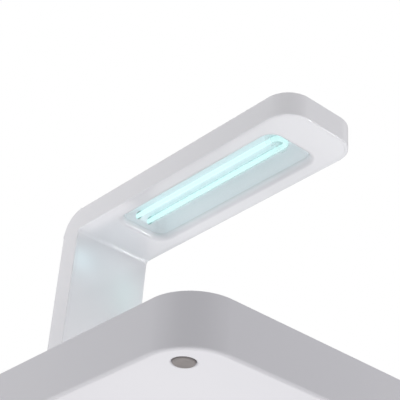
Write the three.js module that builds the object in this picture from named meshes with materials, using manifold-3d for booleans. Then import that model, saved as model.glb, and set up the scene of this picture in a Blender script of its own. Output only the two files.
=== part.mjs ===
// A lamp-and-tray sanitizer for phones, in millimetres.
// The origin is on the table under the middle of the base.
// +Z is up, and +X runs from the leg to the head's tip.
import * as THREE from 'three';
import { mergeVertices } from 'three/addons/utils/BufferGeometryUtils.js';
import Module from 'manifold-3d';

const wasm = await Module();
wasm.setup();

// Clearances
const seatGap = 0.3;
const slideGap = 0.4;
const glassGap = 0.5;

// Base box
const baseLength = 212;
const baseWidth = 180;
const baseHeight = 30;
const baseCornerRadius = 27;
const baseWall = 2.4;
const baseFloor = 2.4;
const bottomEdgeRadius = 4;
const topEdgeRadius = 0.8;
const baseRibThickness = 1.6;
const baseRibDepth = 2.6;
const baseRibSpacing = 34;

// Rubber feet, which hide the base screws
const footDiameter = 11.5;
const footProud = 1.6;
const footPocketDepth = 1;
const footEdgeRadius = 0.7;
const footDishDiameter = 7.2;
const footDishDepth = 0.25;
const footFromEnd = 20.5;
const footFromSide = 16.4;

// Deck, with its shelf behind the phone well
const deckSink = 0.6;
const deckThickness = 2.2;
const deckRim = 6;
const shelfDepth = 27.6;
const wellDepth = 8;
const wellCornerRadius = 20;
const wellDraft = 1.6;
const wellFloorRadius = 3;
const wellEdgeRadius = 1.5;
const deckEdge = 0.4;

// Silicone mat in the well
const matThickness = 1.6;
const matRibHeight = 1;
const matRibFoot = 2.6;
const matRibTop = 1.2;
const matRibSpacing = 10;
const matRibMargin = 6;

// Arm: a leg and a head of one thickness, with a rounded elbow
const armWidth = 57.5;
const armHeight = 179.2;
const armThickness = 15.6;
const armWall = 2;
const coverThickness = 2;
const armEdgeRadius = 1;
const coverEdge = 0.3;
const hiddenEdge = 0.4;
const legFromRear = 3.3;
const legLeanDegrees = 2.15;
const headTipRadius = 15.5;
const elbowRadius = 21;
const innerElbowRadius = 2.5;
const armRibThickness = 1.4;
const armRibDepth = 3.6;
const armRibSpacing = 30;

// Snap tabs that hold the cover in the arm
const tabLength = 7;
const tabThickness = 1.2;
const tabHeight = 5;
const tabHook = 0.9;
const tabHookHeight = 2.6;
const tabCatch = 0.6;

// Spigot that stands the arm in the deck
const spigotInset = 3;
const spigotDepth = 13;
const footPlate = 3;
const socketWall = 2;
const socketFloor = 2.5;
const leadHoleDiameter = 4.6;

// Lamp recess, reflector and U-shaped tube
const recessWidth = 34;
const recessFromTip = 24.9;
const recessFromLeg = 27.6;
const recessCornerRadius = 7;
const recessLipRadius = 2.5;
const collarWall = 1.6;
const collarHeight = 4;
const reflectorDepth = 11.8;
const reflectorSheet = 0.8;
const reflectorFlange = 2.4;
const vaultInset = 8;
const tubeDiameter = 4.2;
const tubeSpacing = 9;
const tubeDepth = 8.5;
const tubeFromFront = 5.6;
const holderLength = 14;
const holderWidth = 24;
const holderSocketDepth = 9;
const holderEdge = 1.2;
const clipLength = 3;
const clipWall = 0.9;
const clipMouth = 3.4;

// Push buttons and their switches
const buttonDiameter = 14;
const buttonProud = 1.4;
const buttonEdge = 0.8;
const buttonCrown = 0.5;
const buttonTravel = 1;
const buttonFlange = 1.6;
const buttonFlangeThickness = 1.2;
const buttonFromLight = 15;
const guideWall = 1.2;
const guideDepth = 2.4;
const stemDiameter = 4;
const switchSize = 6;
const switchHeight = 3.4;
const plungerDiameter = 3.4;
const plungerProud = 2.2;
const plungerSunk = 1.5;
const lightDiameter = 3;
const lightProud = 0.3;
const lightFlange = 1.2;
const lightFlangeThickness = 1;
const ledSize = 3.2;
const ledHeight = 1;

// Boards, inlet and leads
const boardThickness = 1.6;
const boardHeight = 5;
const boardCornerRadius = 3;
const boardLength = 35;
const boardFromTower = 2;
const boardFromSocket = 1;
const boardBridge = 14;
const boardFromWall = 3;
const boardScrewInset = 6;
const driverLength = 62;
const driverWidth = 40;
const driverFromBoard = 14;
const chipSize = 7;
const chipHeight = 1.2;
const canDiameter = 6;
const canHeight = 6;
const transformerLength = 25;
const transformerWidth = 18;
const transformerHeight = 8;
const coreThickness = 5;
const windingWidth = 14;
const connectorLength = 6;
const connectorWidth = 10;
const connectorHeight = 5;
const connectorInset = 1;
const inletWidth = 8.9;
const inletHeight = 3.2;
const inletLength = 7.4;
const inletRecess = 0.7;
const inletShell = 0.4;
const inletBack = 1;
const inletTongue = 0.7;
const inletTongueInset = 1.6;
const leadDiameter = 3;
const leadBend = 9;

// Screws
const baseScrewDiameter = 3;
const baseScrewLength = 12;
const baseScrewHead = 5.6;
const baseScrewHeadHeight = 2.2;
const columnDiameter = 9.6;
const postWall = 0.7;
const boardScrewDiameter = 2.4;
const boardScrewLength = 6;
const boardScrewHead = 4.6;
const boardScrewHeadHeight = 1.6;

// Heights and places that follow from the sizes above
const undersideZ = footProud;
const floorTopZ = undersideZ + baseFloor;
const rimZ = undersideZ + baseHeight;
const deckZ = rimZ - deckSink;
const deckUnderZ = deckZ - deckThickness;
const wellFloorZ = deckZ - wellDepth;
const rearX = -baseLength / 2;
const deckInset = baseWall + seatGap;
const wellRearX = rearX + deckInset + shelfDepth;
const wellFrontX = baseLength / 2 - deckInset - deckRim;
const wellLength = wellFrontX - wellRearX;
const wellWidth = baseWidth - 2 * (deckInset + deckRim);
const wellMiddleX = (wellRearX + wellFrontX) / 2;
const shelfMiddleX = rearX + deckInset + shelfDepth / 2;

const lean = THREE.MathUtils.degToRad(legLeanDegrees);
const armUnderZ = armHeight - armThickness;
const legBottomZ = deckZ + seatGap;
const legBackX = rearX + legFromRear;
const legFrontX = legBackX + armThickness / Math.cos(lean);
const elbowX = legFrontX + (armUnderZ - rimZ) * Math.tan(lean);
const headTipX = baseLength / 2;
const spigotBottomZ = deckZ - spigotDepth;
const socketBottomZ = spigotBottomZ - seatGap - socketFloor;
const socketReach = armWidth / 2 - spigotInset + seatGap + socketWall;
const notchReach = socketReach + boardFromSocket;
const lightOffset = socketReach + seatGap + lightFlange + lightDiameter / 2;
const buttonOffset = lightOffset + buttonFromLight;

const recessFrontX = headTipX - recessFromTip;
const recessRearX = elbowX + recessFromLeg;
const recessLength = recessFrontX - recessRearX;
const recessMiddleX = (recessFrontX + recessRearX) / 2;
const ceilingZ = armUnderZ + reflectorDepth;
const skinUnderZ = armHeight - armWall;
const tubeRadius = tubeDiameter / 2;
const tubeZ = armUnderZ + tubeDepth;
const bendRadius = tubeSpacing / 2;
const bendX = recessFrontX - tubeFromFront - tubeRadius - bendRadius;
const limbSides = [-bendRadius, bendRadius];
const holderFrontX = recessRearX - reflectorSheet - seatGap;
const holderRearX = holderFrontX - holderLength;
const tubeStartX = holderFrontX - holderSocketDepth + seatGap;
const holderLowZ = armUnderZ + collarHeight + seatGap + reflectorSheet + seatGap;

const boardUnderZ = floorTopZ + boardHeight;
const boardTopZ = boardUnderZ + boardThickness;
const towerDiameter = baseScrewHead + 2 * seatGap + 2 * baseWall;
const boardWidth = baseWidth - 2 * footFromSide - towerDiameter - 2 * boardFromTower;
const boardRearX = rearX + baseWall + boardFromWall;
const boardFrontX = boardRearX + boardLength;
const driverRearX = boardFrontX + driverFromBoard;
const driverMiddleX = driverRearX + driverLength / 2;
const baseScrewHole = baseScrewDiameter + 2 * seatGap;
const boardScrewHole = boardScrewDiameter + 2 * seatGap;
const switchTopZ = boardTopZ + seatGap + switchHeight;
const plungerTopZ = switchTopZ + plungerProud;

// Steps round each kind of curve, and how far a cut runs past the body it cuts
const roundSteps = 24;
const plainSteps = 16;
const hiddenSteps = 8;
const cornerSteps = 8;
const recessSteps = 5;
const tipSteps = 8;
const insideSteps = 4;
const edgeSteps = 3;
const vaultSteps = 6;
const tubeSides = 16;
const tubeSteps = 20;
const limbShare = 0.1;
const leadSides = 8;
const leadSteps = 48;
const past = 5;
const leastRadius = 0.5;

// A closed geometry as a solid that can be joined and cut
function solidOf(geometry) {
  const plain = geometry.clone();
  plain.deleteAttribute('normal');
  plain.deleteAttribute('uv');
  const merged = mergeVertices(plain);
  const vertProperties = Float32Array.from(merged.attributes.position.array);
  const triVerts = Uint32Array.from(merged.index.array);
  return new wasm.Manifold(new wasm.Mesh({ numProp: 3, vertProperties, triVerts }));
}

function geometryOf(solid) {
  const mesh = solid.getMesh();
  const geometry = new THREE.BufferGeometry();
  geometry.setAttribute('position', new THREE.BufferAttribute(mesh.vertProperties, 3));
  geometry.setIndex(new THREE.BufferAttribute(mesh.triVerts, 1));
  geometry.computeVertexNormals();
  return geometry;
}

// A skin over rings with the same number of points, closed by a flat face at each end
function loft(rings, flatten) {
  const clockwise = THREE.ShapeUtils.area(rings[0].map(flatten)) < 0;
  const ordered = clockwise ? rings.map((ring) => [...ring].reverse()) : rings;
  const count = ordered[0].length;
  const last = (ordered.length - 1) * count;
  const faces = [];
  for (let ring = 0; ring + 1 < ordered.length; ring += 1) {
    for (let side = 0; side < count; side += 1) {
      const a = ring * count + side;
      const b = ring * count + (side + 1) % count;
      faces.push(a, b, b + count, a, b + count, a + count);
    }
  }
  for (const [a, b, c] of THREE.ShapeUtils.triangulateShape(ordered[0].map(flatten), [])) {
    faces.push(a, c, b);
  }
  for (const [a, b, c] of THREE.ShapeUtils.triangulateShape(ordered.at(-1).map(flatten), [])) {
    faces.push(last + a, last + b, last + c);
  }
  const geometry = new THREE.BufferGeometry().setFromPoints(ordered.flat());
  geometry.setIndex(faces);
  return solidOf(geometry);
}

// The outline of a rounded rectangle, anticlockwise, with the same number of points at any size
function roundedRectangle(length, width, radius, steps = cornerSteps) {
  const corner = Math.max(radius, leastRadius);
  const points = [];
  for (let quarter = 0; quarter < 4; quarter += 1) {
    const signX = quarter === 0 || quarter === 3 ? 1 : -1;
    const signY = quarter < 2 ? 1 : -1;
    for (let step = 0; step <= steps; step += 1) {
      const angle = (quarter + step / steps) * Math.PI / 2;
      const x = signX * (length / 2 - corner) + corner * Math.cos(angle);
      const y = signY * (width / 2 - corner) + corner * Math.sin(angle);
      points.push(new THREE.Vector2(x, y));
    }
  }
  return points;
}

// Rounded rectangles stacked upwards; each level is [inset, height]
function stackedRectangle(length, width, radius, levels, middleX = 0, steps = cornerSteps) {
  const rings = levels.map(([inset, z]) => {
    const outline = roundedRectangle(length - 2 * inset, width - 2 * inset, radius - inset, steps);
    return outline.map((point) => new THREE.Vector3(point.x + middleX, point.y, z));
  });
  return loft(rings, (point) => new THREE.Vector2(point.x, point.y));
}

// A box between two planes each way, given in either order
function box(x1, x2, y1, y2, z1, z2) {
  const geometry = new THREE.BoxGeometry(Math.abs(x2 - x1), Math.abs(y2 - y1), Math.abs(z2 - z1));
  geometry.translate((x1 + x2) / 2, (y1 + y2) / 2, (z1 + z2) / 2);
  return solidOf(geometry);
}

function cylinder(diameter, x, y, lowZ, highZ, steps = roundSteps) {
  const geometry = new THREE.CylinderGeometry(diameter / 2, diameter / 2, highZ - lowZ, steps);
  geometry.rotateX(Math.PI / 2);
  geometry.translate(x, y, (lowZ + highZ) / 2);
  return solidOf(geometry);
}

// A turned piece about a vertical axis; each profile point is [radius, height]
function turned(profile, x, y, steps = roundSteps) {
  const points = profile.map(([radius, z]) => new THREE.Vector2(radius, z));
  const geometry = new THREE.LatheGeometry(points, steps);
  geometry.rotateX(Math.PI / 2);
  geometry.translate(x, y, 0);
  return solidOf(geometry);
}

// A bar along X of any cross-section; each corner is [y, z]
function barAlongX(corners, lowX, highX) {
  const shape = new THREE.Shape(corners.map(([y, z]) => new THREE.Vector2(y, z)));
  const geometry = new THREE.ExtrudeGeometry(shape, { depth: highX - lowX, bevelEnabled: false });
  geometry.rotateX(Math.PI / 2);
  geometry.rotateZ(Math.PI / 2);
  geometry.translate(lowX, 0, 0);
  return solidOf(geometry);
}

// A round hole or post out of sight, with few sides
function plainRound(diameter, x, y, lowZ, highZ) {
  return cylinder(diameter, x, y, lowZ, highZ, hiddenSteps);
}

function joined(pieces) {
  return pieces.reduce((whole, piece) => whole.add(piece));
}

// A quarter round from an upright wall to a flat top, as [inwards from the wall, below the top]
function softEdge(radius, steps = edgeSteps) {
  const parts = [];
  for (let step = 0; step <= steps; step += 1) {
    const angle = step / steps * Math.PI / 2;
    parts.push([radius * (1 - Math.cos(angle)), radius * (1 - Math.sin(angle))]);
  }
  return parts;
}

// One bent line of the arm's side view: up the leg and round the elbow, to where the head's line starts
function bentLine(faceAtRim, headZ, radius, bottomZ, steps) {
  const faceX = (z) => faceAtRim + (z - rimZ) * Math.tan(lean);
  const middleZ = headZ - radius;
  const middleX = faceX(middleZ) + radius / Math.cos(lean);
  const points = [new THREE.Vector2(faceX(bottomZ), bottomZ)];
  for (let step = 0; step <= steps; step += 1) {
    const angle = Math.PI - lean - (Math.PI / 2 - lean) * step / steps;
    points.push(new THREE.Vector2(middleX + radius * Math.cos(angle), middleZ + radius * Math.sin(angle)));
  }
  return points;
}

// The arm's side view, drawn in from its back by backDepth and from its open side by frontDepth
function armSideView(backDepth, frontDepth, tipX, edge, bottomZ, steps) {
  const cosine = Math.cos(lean);
  const headTopZ = armHeight - backDepth;
  const headLowZ = armUnderZ + frontDepth;
  const backRadius = Math.max(elbowRadius - backDepth, leastRadius);
  const frontRadius = Math.max(innerElbowRadius + frontDepth, leastRadius);
  const back = bentLine(legBackX + backDepth / cosine, headTopZ, backRadius, bottomZ, steps);
  const front = bentLine(legFrontX - frontDepth / cosine, headLowZ, frontRadius, bottomZ, insideSteps);
  const tip = [];
  for (const [inwards, below] of softEdge(edge).reverse()) {
    tip.push(new THREE.Vector2(tipX - inwards, headTopZ - below));
  }
  for (const [inwards, above] of softEdge(edge)) {
    tip.push(new THREE.Vector2(tipX - inwards, headLowZ + above));
  }
  return [...back, ...tip, ...front.reverse()];
}

// The arm as side views lofted across its width: the tip is round in plan and the long edges are soft
function armBody({
  back = 0, front = 0, side = 0, edge = hiddenEdge, bottom = legBottomZ, steps = insideSteps,
}) {
  const halfWidth = armWidth / 2 - side;
  const tipRadius = Math.max(headTipRadius - side, leastRadius);
  const tipEnd = headTipX - side;
  const slices = softEdge(tipRadius, steps).map(([fromTip, fromSide]) => [
    halfWidth - fromSide,
    tipEnd - fromTip,
  ]);
  const across = [...[...slices].reverse().map(([y, tipX]) => [-y, tipX]), ...slices];
  const rings = across.map(([y, tipX]) => {
    const fromSide = halfWidth - Math.abs(y);
    const soft = fromSide < edge ? edge - Math.sqrt(edge ** 2 - (edge - fromSide) ** 2) : 0;
    const outline = armSideView(back + soft, front + soft, tipX, edge, bottom, steps);
    return outline.map((point) => new THREE.Vector3(point.x, y, point.y));
  });
  return loft(rings, (point) => new THREE.Vector2(point.z, point.x));
}

const space = 2 * (baseLength + baseWidth + armHeight);

function slabZ(lowZ, highZ) {
  return box(-space, space, -space, space, lowZ, highZ);
}

function feetPlaces() {
  const places = [];
  for (const [end, signX] of [['front', 1], ['rear', -1]]) {
    for (const [side, signY] of [['left', 1], ['right', -1]]) {
      const x = signX * (baseLength / 2 - footFromEnd);
      const y = signY * (baseWidth / 2 - footFromSide);
      places.push({ name: `${end}_${side}`, x, y });
    }
  }
  return places;
}

// Base tub: outer skin with a soft bottom edge, foot pockets, screw towers, board posts and deck ribs
const pocketTopZ = undersideZ + footPocketDepth;
const screwBearingZ = pocketTopZ + seatGap + baseScrewHeadHeight + seatGap;
const towerTopZ = screwBearingZ + baseFloor;
const columnBottomZ = towerTopZ + seatGap;

function boardPosts() {
  const x = boardFrontX - boardScrewInset;
  const y = boardWidth / 2 - boardScrewInset;
  return [[x, y], [x, -y]];
}

function driverPosts() {
  const x = driverLength / 2 - boardScrewInset;
  const y = driverWidth / 2 - boardScrewInset;
  return [[driverMiddleX - x, y], [driverMiddleX + x, -y]];
}

function baseTub() {
  const outer = softEdge(bottomEdgeRadius, 5).reverse().map(([inwards, up]) => [inwards, undersideZ + up]);
  for (const [inwards, below] of softEdge(topEdgeRadius, 2)) {
    outer.push([inwards, rimZ - below]);
  }
  const innerEdge = Math.max(bottomEdgeRadius - baseWall, leastRadius);
  const inner = softEdge(innerEdge, 2).reverse().map(([inwards, up]) => [
    baseWall + inwards,
    floorTopZ + up,
  ]);
  inner.push([baseWall, rimZ + past]);
  let tub = stackedRectangle(baseLength, baseWidth, baseCornerRadius, outer)
    .subtract(stackedRectangle(baseLength, baseWidth, baseCornerRadius, inner));
  const rootZ = floorTopZ - baseFloor / 2;
  const postDiameter = boardScrewHead + 2 * postWall;
  for (const { x, y } of feetPlaces()) {
    tub = tub.add(plainRound(towerDiameter, x, y, rootZ, towerTopZ));
    tub = tub.subtract(cylinder(footDiameter + 2 * seatGap, x, y, undersideZ - past, pocketTopZ));
    tub = tub.subtract(plainRound(baseScrewHead + 2 * seatGap, x, y, undersideZ, screwBearingZ));
    tub = tub.subtract(plainRound(baseScrewHole, x, y, undersideZ, towerTopZ + past));
  }
  for (const [x, y] of [...boardPosts(), ...driverPosts()]) {
    tub = tub.add(plainRound(postDiameter, x, y, rootZ, boardUnderZ - seatGap));
    tub = tub.subtract(plainRound(boardScrewHole, x, y, floorTopZ, boardUnderZ));
  }
  tub = tub.add(joined(deckRibs()));
  return tub.subtract(inletOpening());
}

// Ribs up the tub's walls, which carry the deck's edge
function deckRibs() {
  const ribs = [];
  const rootZ = floorTopZ - baseFloor / 2;
  const topZ = deckUnderZ - seatGap;
  const straightX = baseLength / 2 - baseCornerRadius;
  const straightY = baseWidth / 2 - baseCornerRadius;
  const countX = Math.floor(straightX / baseRibSpacing);
  const countY = Math.floor(straightY / baseRibSpacing);
  const half = baseRibThickness / 2;
  for (let place = -countX; place <= countX; place += 1) {
    const x = place * baseRibSpacing;
    for (const sign of [-1, 1]) {
      const wallY = sign * (baseWidth / 2 - baseWall / 2);
      const innerY = sign * (baseWidth / 2 - baseWall - baseRibDepth);
      ribs.push(box(x - half, x + half, wallY, innerY, rootZ, topZ));
    }
  }
  for (let place = -countY; place <= countY; place += 1) {
    const y = place * baseRibSpacing;
    const wallX = baseLength / 2 - baseWall / 2;
    const innerX = baseLength / 2 - baseWall - baseRibDepth;
    ribs.push(box(innerX, wallX, y - half, y + half, rootZ, topZ));
  }
  return ribs;
}

// The power inlet: a flat-sided round-ended socket on the control board, looking out through the rear wall
const inletLowZ = boardTopZ + seatGap;
const inletMiddleZ = inletLowZ + inletHeight / 2;
const inletRearX = rearX + inletRecess;

function inletBar(grow, lowX, highX) {
  const height = inletHeight + 2 * grow;
  const outline = roundedRectangle(inletWidth + 2 * grow, height, height / 2, recessSteps);
  return barAlongX(outline.map((point) => [point.x + buttonOffset, point.y + inletMiddleZ]), lowX, highX);
}

function inletOpening() {
  return inletBar(seatGap, rearX - past, rearX + baseWall + past);
}

function powerInlet() {
  const frontX = inletRearX + inletLength;
  const halfTongue = inletWidth / 2 - inletTongueInset;
  const tongue = box(
    inletRearX + inletBack, frontX - inletBack / 2,
    buttonOffset - halfTongue, buttonOffset + halfTongue,
    inletMiddleZ - inletTongue / 2, inletMiddleZ + inletTongue / 2,
  );
  return inletBar(0, inletRearX, frontX)
    .subtract(inletBar(-inletShell, inletRearX - past, frontX - inletBack))
    .add(tongue);
}

// Deck: flat rim and rear shelf, the phone well, the arm's socket, screw columns and button holes
function wellLevels(grow, steps) {
  const levels = softEdge(wellFloorRadius, steps).reverse().map(([inwards, up]) => [
    wellDraft + inwards - grow,
    wellFloorZ + up - grow,
  ]);
  for (const [outwards, below] of softEdge(wellEdgeRadius, steps)) {
    levels.push([-outwards - grow, deckZ - below - grow]);
  }
  return levels;
}

function buttonPlaces() {
  return [{ name: 'power', y: -buttonOffset }, { name: 'timer', y: buttonOffset }];
}

function wellCavity() {
  const levels = wellLevels(0, edgeSteps);
  const [edgeInset, edgeZ] = levels.pop();
  const [lastInset, lastZ] = levels.at(-1);
  levels.push([2 * edgeInset - lastInset, 2 * edgeZ - lastZ]);
  return stackedRectangle(wellLength, wellWidth, wellCornerRadius, levels, wellMiddleX);
}

function wellUnderside() {
  const levels = wellLevels(deckThickness, 1);
  levels.push([-wellEdgeRadius - deckThickness, deckUnderZ + deckThickness / 2]);
  return stackedRectangle(wellLength, wellWidth, wellCornerRadius, levels, wellMiddleX);
}

// The leg's section drawn in by inset all round, between two heights
function legSection(inset, lowZ, highZ) {
  const section = armBody({ back: inset, front: inset, side: inset, bottom: lowZ });
  return section.intersect(slabZ(lowZ - past, highZ));
}

function deck() {
  const rootZ = deckUnderZ + deckThickness / 2;
  const screwEndZ = screwBearingZ + baseScrewLength + seatGap;
  const plate = [[deckInset, deckUnderZ], [deckInset, deckZ - deckEdge], [deckInset + deckEdge, deckZ]];
  const added = [wellUnderside(), legSection(spigotInset - seatGap - socketWall, socketBottomZ, rootZ)];
  const cuts = [wellCavity(), legSection(spigotInset - seatGap, spigotBottomZ - seatGap, deckZ + past)];
  for (const { x, y } of feetPlaces()) {
    added.push(plainRound(columnDiameter, x, y, columnBottomZ, rootZ));
    cuts.push(plainRound(baseScrewHole, x, y, columnBottomZ - past, screwEndZ));
  }
  const lightHole = lightDiameter + 2 * seatGap;
  cuts.push(cylinder(lightHole, shelfMiddleX, -lightOffset, deckUnderZ - past, deckZ + past));
  const buttonHole = buttonDiameter + 2 * slideGap;
  const guideRoom = buttonHole + 2 * buttonFlange;
  for (const { y } of buttonPlaces()) {
    added.push(cylinder(guideRoom + 2 * guideWall, shelfMiddleX, y, deckUnderZ - guideDepth, rootZ));
    cuts.push(cylinder(guideRoom, shelfMiddleX, y, deckUnderZ - past, deckUnderZ));
    cuts.push(cylinder(buttonHole, shelfMiddleX, y, deckUnderZ - past, deckZ + past));
  }
  for (const y of armScrewPlaces()) {
    cuts.push(plainRound(baseScrewHole, spigotMiddleX, y, socketBottomZ - past, spigotBottomZ));
  }
  cuts.push(plainRound(leadHoleDiameter, spigotMiddleX, 0, socketBottomZ - past, spigotBottomZ));
  const plateSolid = stackedRectangle(baseLength, baseWidth, baseCornerRadius, plate);
  return joined([plateSolid, ...added]).subtract(joined(cuts));
}

// The middle of the leg where it stands in the deck
const spigotMiddleX = (legBackX + legFrontX) / 2 + ((spigotBottomZ + deckZ) / 2 - rimZ) * Math.tan(lean);

function armScrewPlaces() {
  const y = armWidth / 2 - spigotInset - baseScrewHead;
  return [-y, y];
}

// Arm shell: back and sides in one piece, with cover ribs, a foot plate and the spigot
function armShell() {
  const cavity = armBody({
    back: armWall, front: -past, side: armWall, bottom: legBottomZ - past, steps: tipSteps,
  });
  const backing = { back: armWall / 2, front: coverThickness + seatGap, side: armWall / 2 };
  const foot = armBody(backing).intersect(slabZ(legBottomZ - past, legBottomZ + footPlate));
  const spigot = legSection(spigotInset, spigotBottomZ, legBottomZ + footPlate / 2);
  const outside = armBody({ edge: armEdgeRadius, steps: tipSteps });
  const cuts = tabPlaces().map(hookRoom);
  const holeLowZ = spigotBottomZ - past;
  for (const y of armScrewPlaces()) {
    cuts.push(plainRound(baseScrewHole, spigotMiddleX, y, holeLowZ, legBottomZ + footPlate / 2));
  }
  cuts.push(plainRound(leadHoleDiameter, spigotMiddleX, 0, holeLowZ, legBottomZ + footPlate + past));
  const pieces = [outside.subtract(cavity), armRibs(backing), foot, spigot, holderCradle()];
  return joined(pieces).subtract(joined(cuts));
}

// Short ribs inside both side walls, on which the cover lies
function ribPlacesOnHead() {
  const places = [];
  for (let x = recessFrontX; x > legFrontX + elbowRadius / 2; x -= armRibSpacing) {
    places.push(x);
  }
  return places;
}

function ribPlacesOnLeg() {
  const places = [];
  for (let z = legBottomZ + armRibSpacing; z < armUnderZ - armRibSpacing / 2; z += armRibSpacing) {
    places.push(z);
  }
  return places;
}

function armRibs(backing) {
  const half = armRibThickness / 2;
  const slabs = ribPlacesOnHead().map((x) => box(x - half, x + half, -space, space, armUnderZ, armHeight));
  for (const z of ribPlacesOnLeg()) {
    slabs.push(box(-space, legFrontX + past, -space, space, z - half, z + half));
  }
  const open = armWidth / 2 - armWall - armRibDepth;
  const channel = box(-space, space, -open, open, -past, armHeight + past);
  return joined(slabs).intersect(armBody(backing)).subtract(channel);
}

// Two fins from the head's ceiling, one on each side of the lamp holder
function holderCradle() {
  const inner = holderWidth / 2 + seatGap;
  const outer = inner + armRibThickness;
  const rootZ = skinUnderZ + armWall / 2;
  const fin = (side) => box(holderRearX, holderFrontX, side * inner, side * outer, holderLowZ, rootZ);
  return fin(-1).add(fin(1));
}

// Snap tabs stand on the cover along both side walls, half way between the ribs
function tabPlaces() {
  const places = [];
  const onHead = ribPlacesOnHead();
  for (let index = 0; index + 1 < onHead.length; index += 2) {
    const x = (onHead[index] + onHead[index + 1]) / 2;
    places.push({ x, side: 1 }, { x, side: -1 });
  }
  return places;
}

const tabRootZ = armUnderZ + coverThickness / 2;
const tabTopZ = armUnderZ + coverThickness + tabHeight;
const hookLowZ = tabTopZ - tabHookHeight;

function tab({ x, side }) {
  const outerY = armWidth / 2 - armWall - seatGap;
  const innerY = outerY - tabThickness;
  const corners = [
    [innerY, tabRootZ], [outerY, tabRootZ], [outerY, hookLowZ],
    [outerY + tabHook, hookLowZ + tabCatch], [outerY, tabTopZ], [innerY, tabTopZ],
  ].map(([y, z]) => [side * y, z]);
  return barAlongX(side > 0 ? corners : corners.reverse(), x - tabLength / 2, x + tabLength / 2);
}

function hookRoom({ x, side }) {
  const wallY = side * (armWidth / 2 - armWall - armRibDepth / 2);
  const deepY = side * (armWidth / 2 - armWall + tabHook);
  const reach = tabLength / 2 + seatGap;
  return box(x - reach, x + reach, wallY, deepY, hookLowZ - seatGap, tabTopZ + seatGap);
}

// Arm cover: the leg's front and the head's underside, with the recess lip, its collar and the snap tabs
function armCover() {
  const body = armBody({ side: armWall + seatGap, edge: coverEdge, steps: tipSteps });
  const above = armBody({
    back: -past, front: coverThickness, side: -past, edge: coverEdge, bottom: legBottomZ - past,
  });
  const collarTopZ = armUnderZ + collarHeight;
  const collar = recessStack([[-collarWall, tabRootZ], [-collarWall, collarTopZ]]);
  const lip = softEdge(recessLipRadius).reverse().map(([outwards, up]) => [-outwards, armUnderZ + up]);
  const opening = recessStack([[-recessLipRadius, armUnderZ - past], ...lip, [0, collarTopZ + past]]);
  return joined([body.subtract(above), collar, ...tabPlaces().map(tab)]).subtract(opening);
}

function recessStack(levels) {
  const size = [recessLength, recessWidth, recessCornerRadius];
  return stackedRectangle(...size, levels, recessMiddleX, recessSteps);
}

// Reflector: a pressed vault over the tube, with a flange that lies on the collar
function reflector() {
  const lowZ = armUnderZ + collarHeight + seatGap;
  const rise = ceilingZ - lowZ;
  const vault = (grow) => softEdge(1, vaultSteps).map(([inwards, below]) => [
    vaultInset * inwards - grow,
    lowZ + rise * (1 - below) + (below < 1 ? grow : 0),
  ]);
  const flange = recessStack([[-reflectorFlange, lowZ], [-reflectorFlange, lowZ + reflectorSheet]]);
  const sheet = recessStack(vault(reflectorSheet)).add(flange);
  const hole = tubeDiameter + 2 * glassGap;
  const holes = limbSides.map((y) => roundBar(hole, y, recessRearX - past, recessRearX + past));
  return sheet.subtract(recessStack([[0, lowZ - past], ...vault(0)])).subtract(joined(holes));
}

// A round bar along X at the tube's height
function roundBar(diameter, y, lowX, highX) {
  const outline = circleShape(diameter / 2, roundSteps).getPoints();
  return barAlongX(outline.map((point) => [point.x + y, point.y + tubeZ]), lowX, highX);
}

function circleShape(radius, steps) {
  const points = [];
  for (let step = 0; step < steps; step += 1) {
    const angle = step / steps * 2 * Math.PI;
    points.push(new THREE.Vector2(radius * Math.cos(angle), radius * Math.sin(angle)));
  }
  return new THREE.Shape(points);
}

// The U-shaped tube's middle line: out along one limb, round the bend and back along the other.
// Each limb takes limbShare of the line's parameter, and the bend takes the rest.
class TubeLine extends THREE.Curve {
  angleAt(t) {
    const angle = (t - limbShare) / (1 - 2 * limbShare) * Math.PI;
    return THREE.MathUtils.clamp(angle, 0, Math.PI);
  }

  getPoint(t, target = new THREE.Vector3()) {
    const angle = this.angleAt(t);
    const alongLimb = Math.min(t, 1 - t, limbShare) / limbShare;
    const x = tubeStartX + (bendX - tubeStartX) * alongLimb;
    return target.set(x + bendRadius * Math.sin(angle), -bendRadius * Math.cos(angle), tubeZ);
  }

  getPointAt(t, target) {
    return this.getPoint(t, target);
  }

  getTangentAt(t, target = new THREE.Vector3()) {
    const angle = this.angleAt(t);
    return target.set(Math.cos(angle), Math.sin(angle), 0);
  }
}

function lampTube() {
  const shape = circleShape(tubeRadius, tubeSides);
  const settings = { steps: tubeSteps, extrudePath: new TubeLine(), bevelEnabled: false };
  return solidOf(new THREE.ExtrudeGeometry(shape, settings));
}

// Lamp holder: a block behind the reflector with a socket for each limb
function lampHolder() {
  const topZ = skinUnderZ - seatGap;
  const outline = roundedRectangle(holderWidth, topZ - holderLowZ, holderEdge, edgeSteps);
  const middleZ = (holderLowZ + topZ) / 2;
  const block = barAlongX(outline.map((point) => [point.x, point.y + middleZ]), holderRearX, holderFrontX);
  const socketX = holderFrontX - holderSocketDepth;
  const bore = tubeDiameter + 2 * seatGap;
  const sockets = limbSides.map((y) => roundBar(bore, y, socketX, holderFrontX + past));
  return block.subtract(joined(sockets));
}

// Lamp clip: a saddle under the reflector's ceiling, with an open claw round each limb beside the bend
function lampClip() {
  const lowX = bendX - clipLength;
  const bore = tubeDiameter + 2 * seatGap;
  const claw = bore + 2 * clipWall;
  const reach = bendRadius + claw / 2;
  const claws = limbSides.map((y) => roundBar(claw, y, lowX, bendX));
  const bores = limbSides.map((y) => roundBar(bore, y, lowX - past, bendX + past));
  const mouths = limbSides.map((y) => box(
    lowX - past, bendX + past, y - clipMouth / 2, y + clipMouth / 2, tubeZ - past, tubeZ,
  ));
  const saddle = box(lowX, bendX, -reach, reach, tubeZ, ceilingZ - seatGap);
  return joined([saddle, ...claws]).subtract(joined([...bores, ...mouths]));
}

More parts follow.
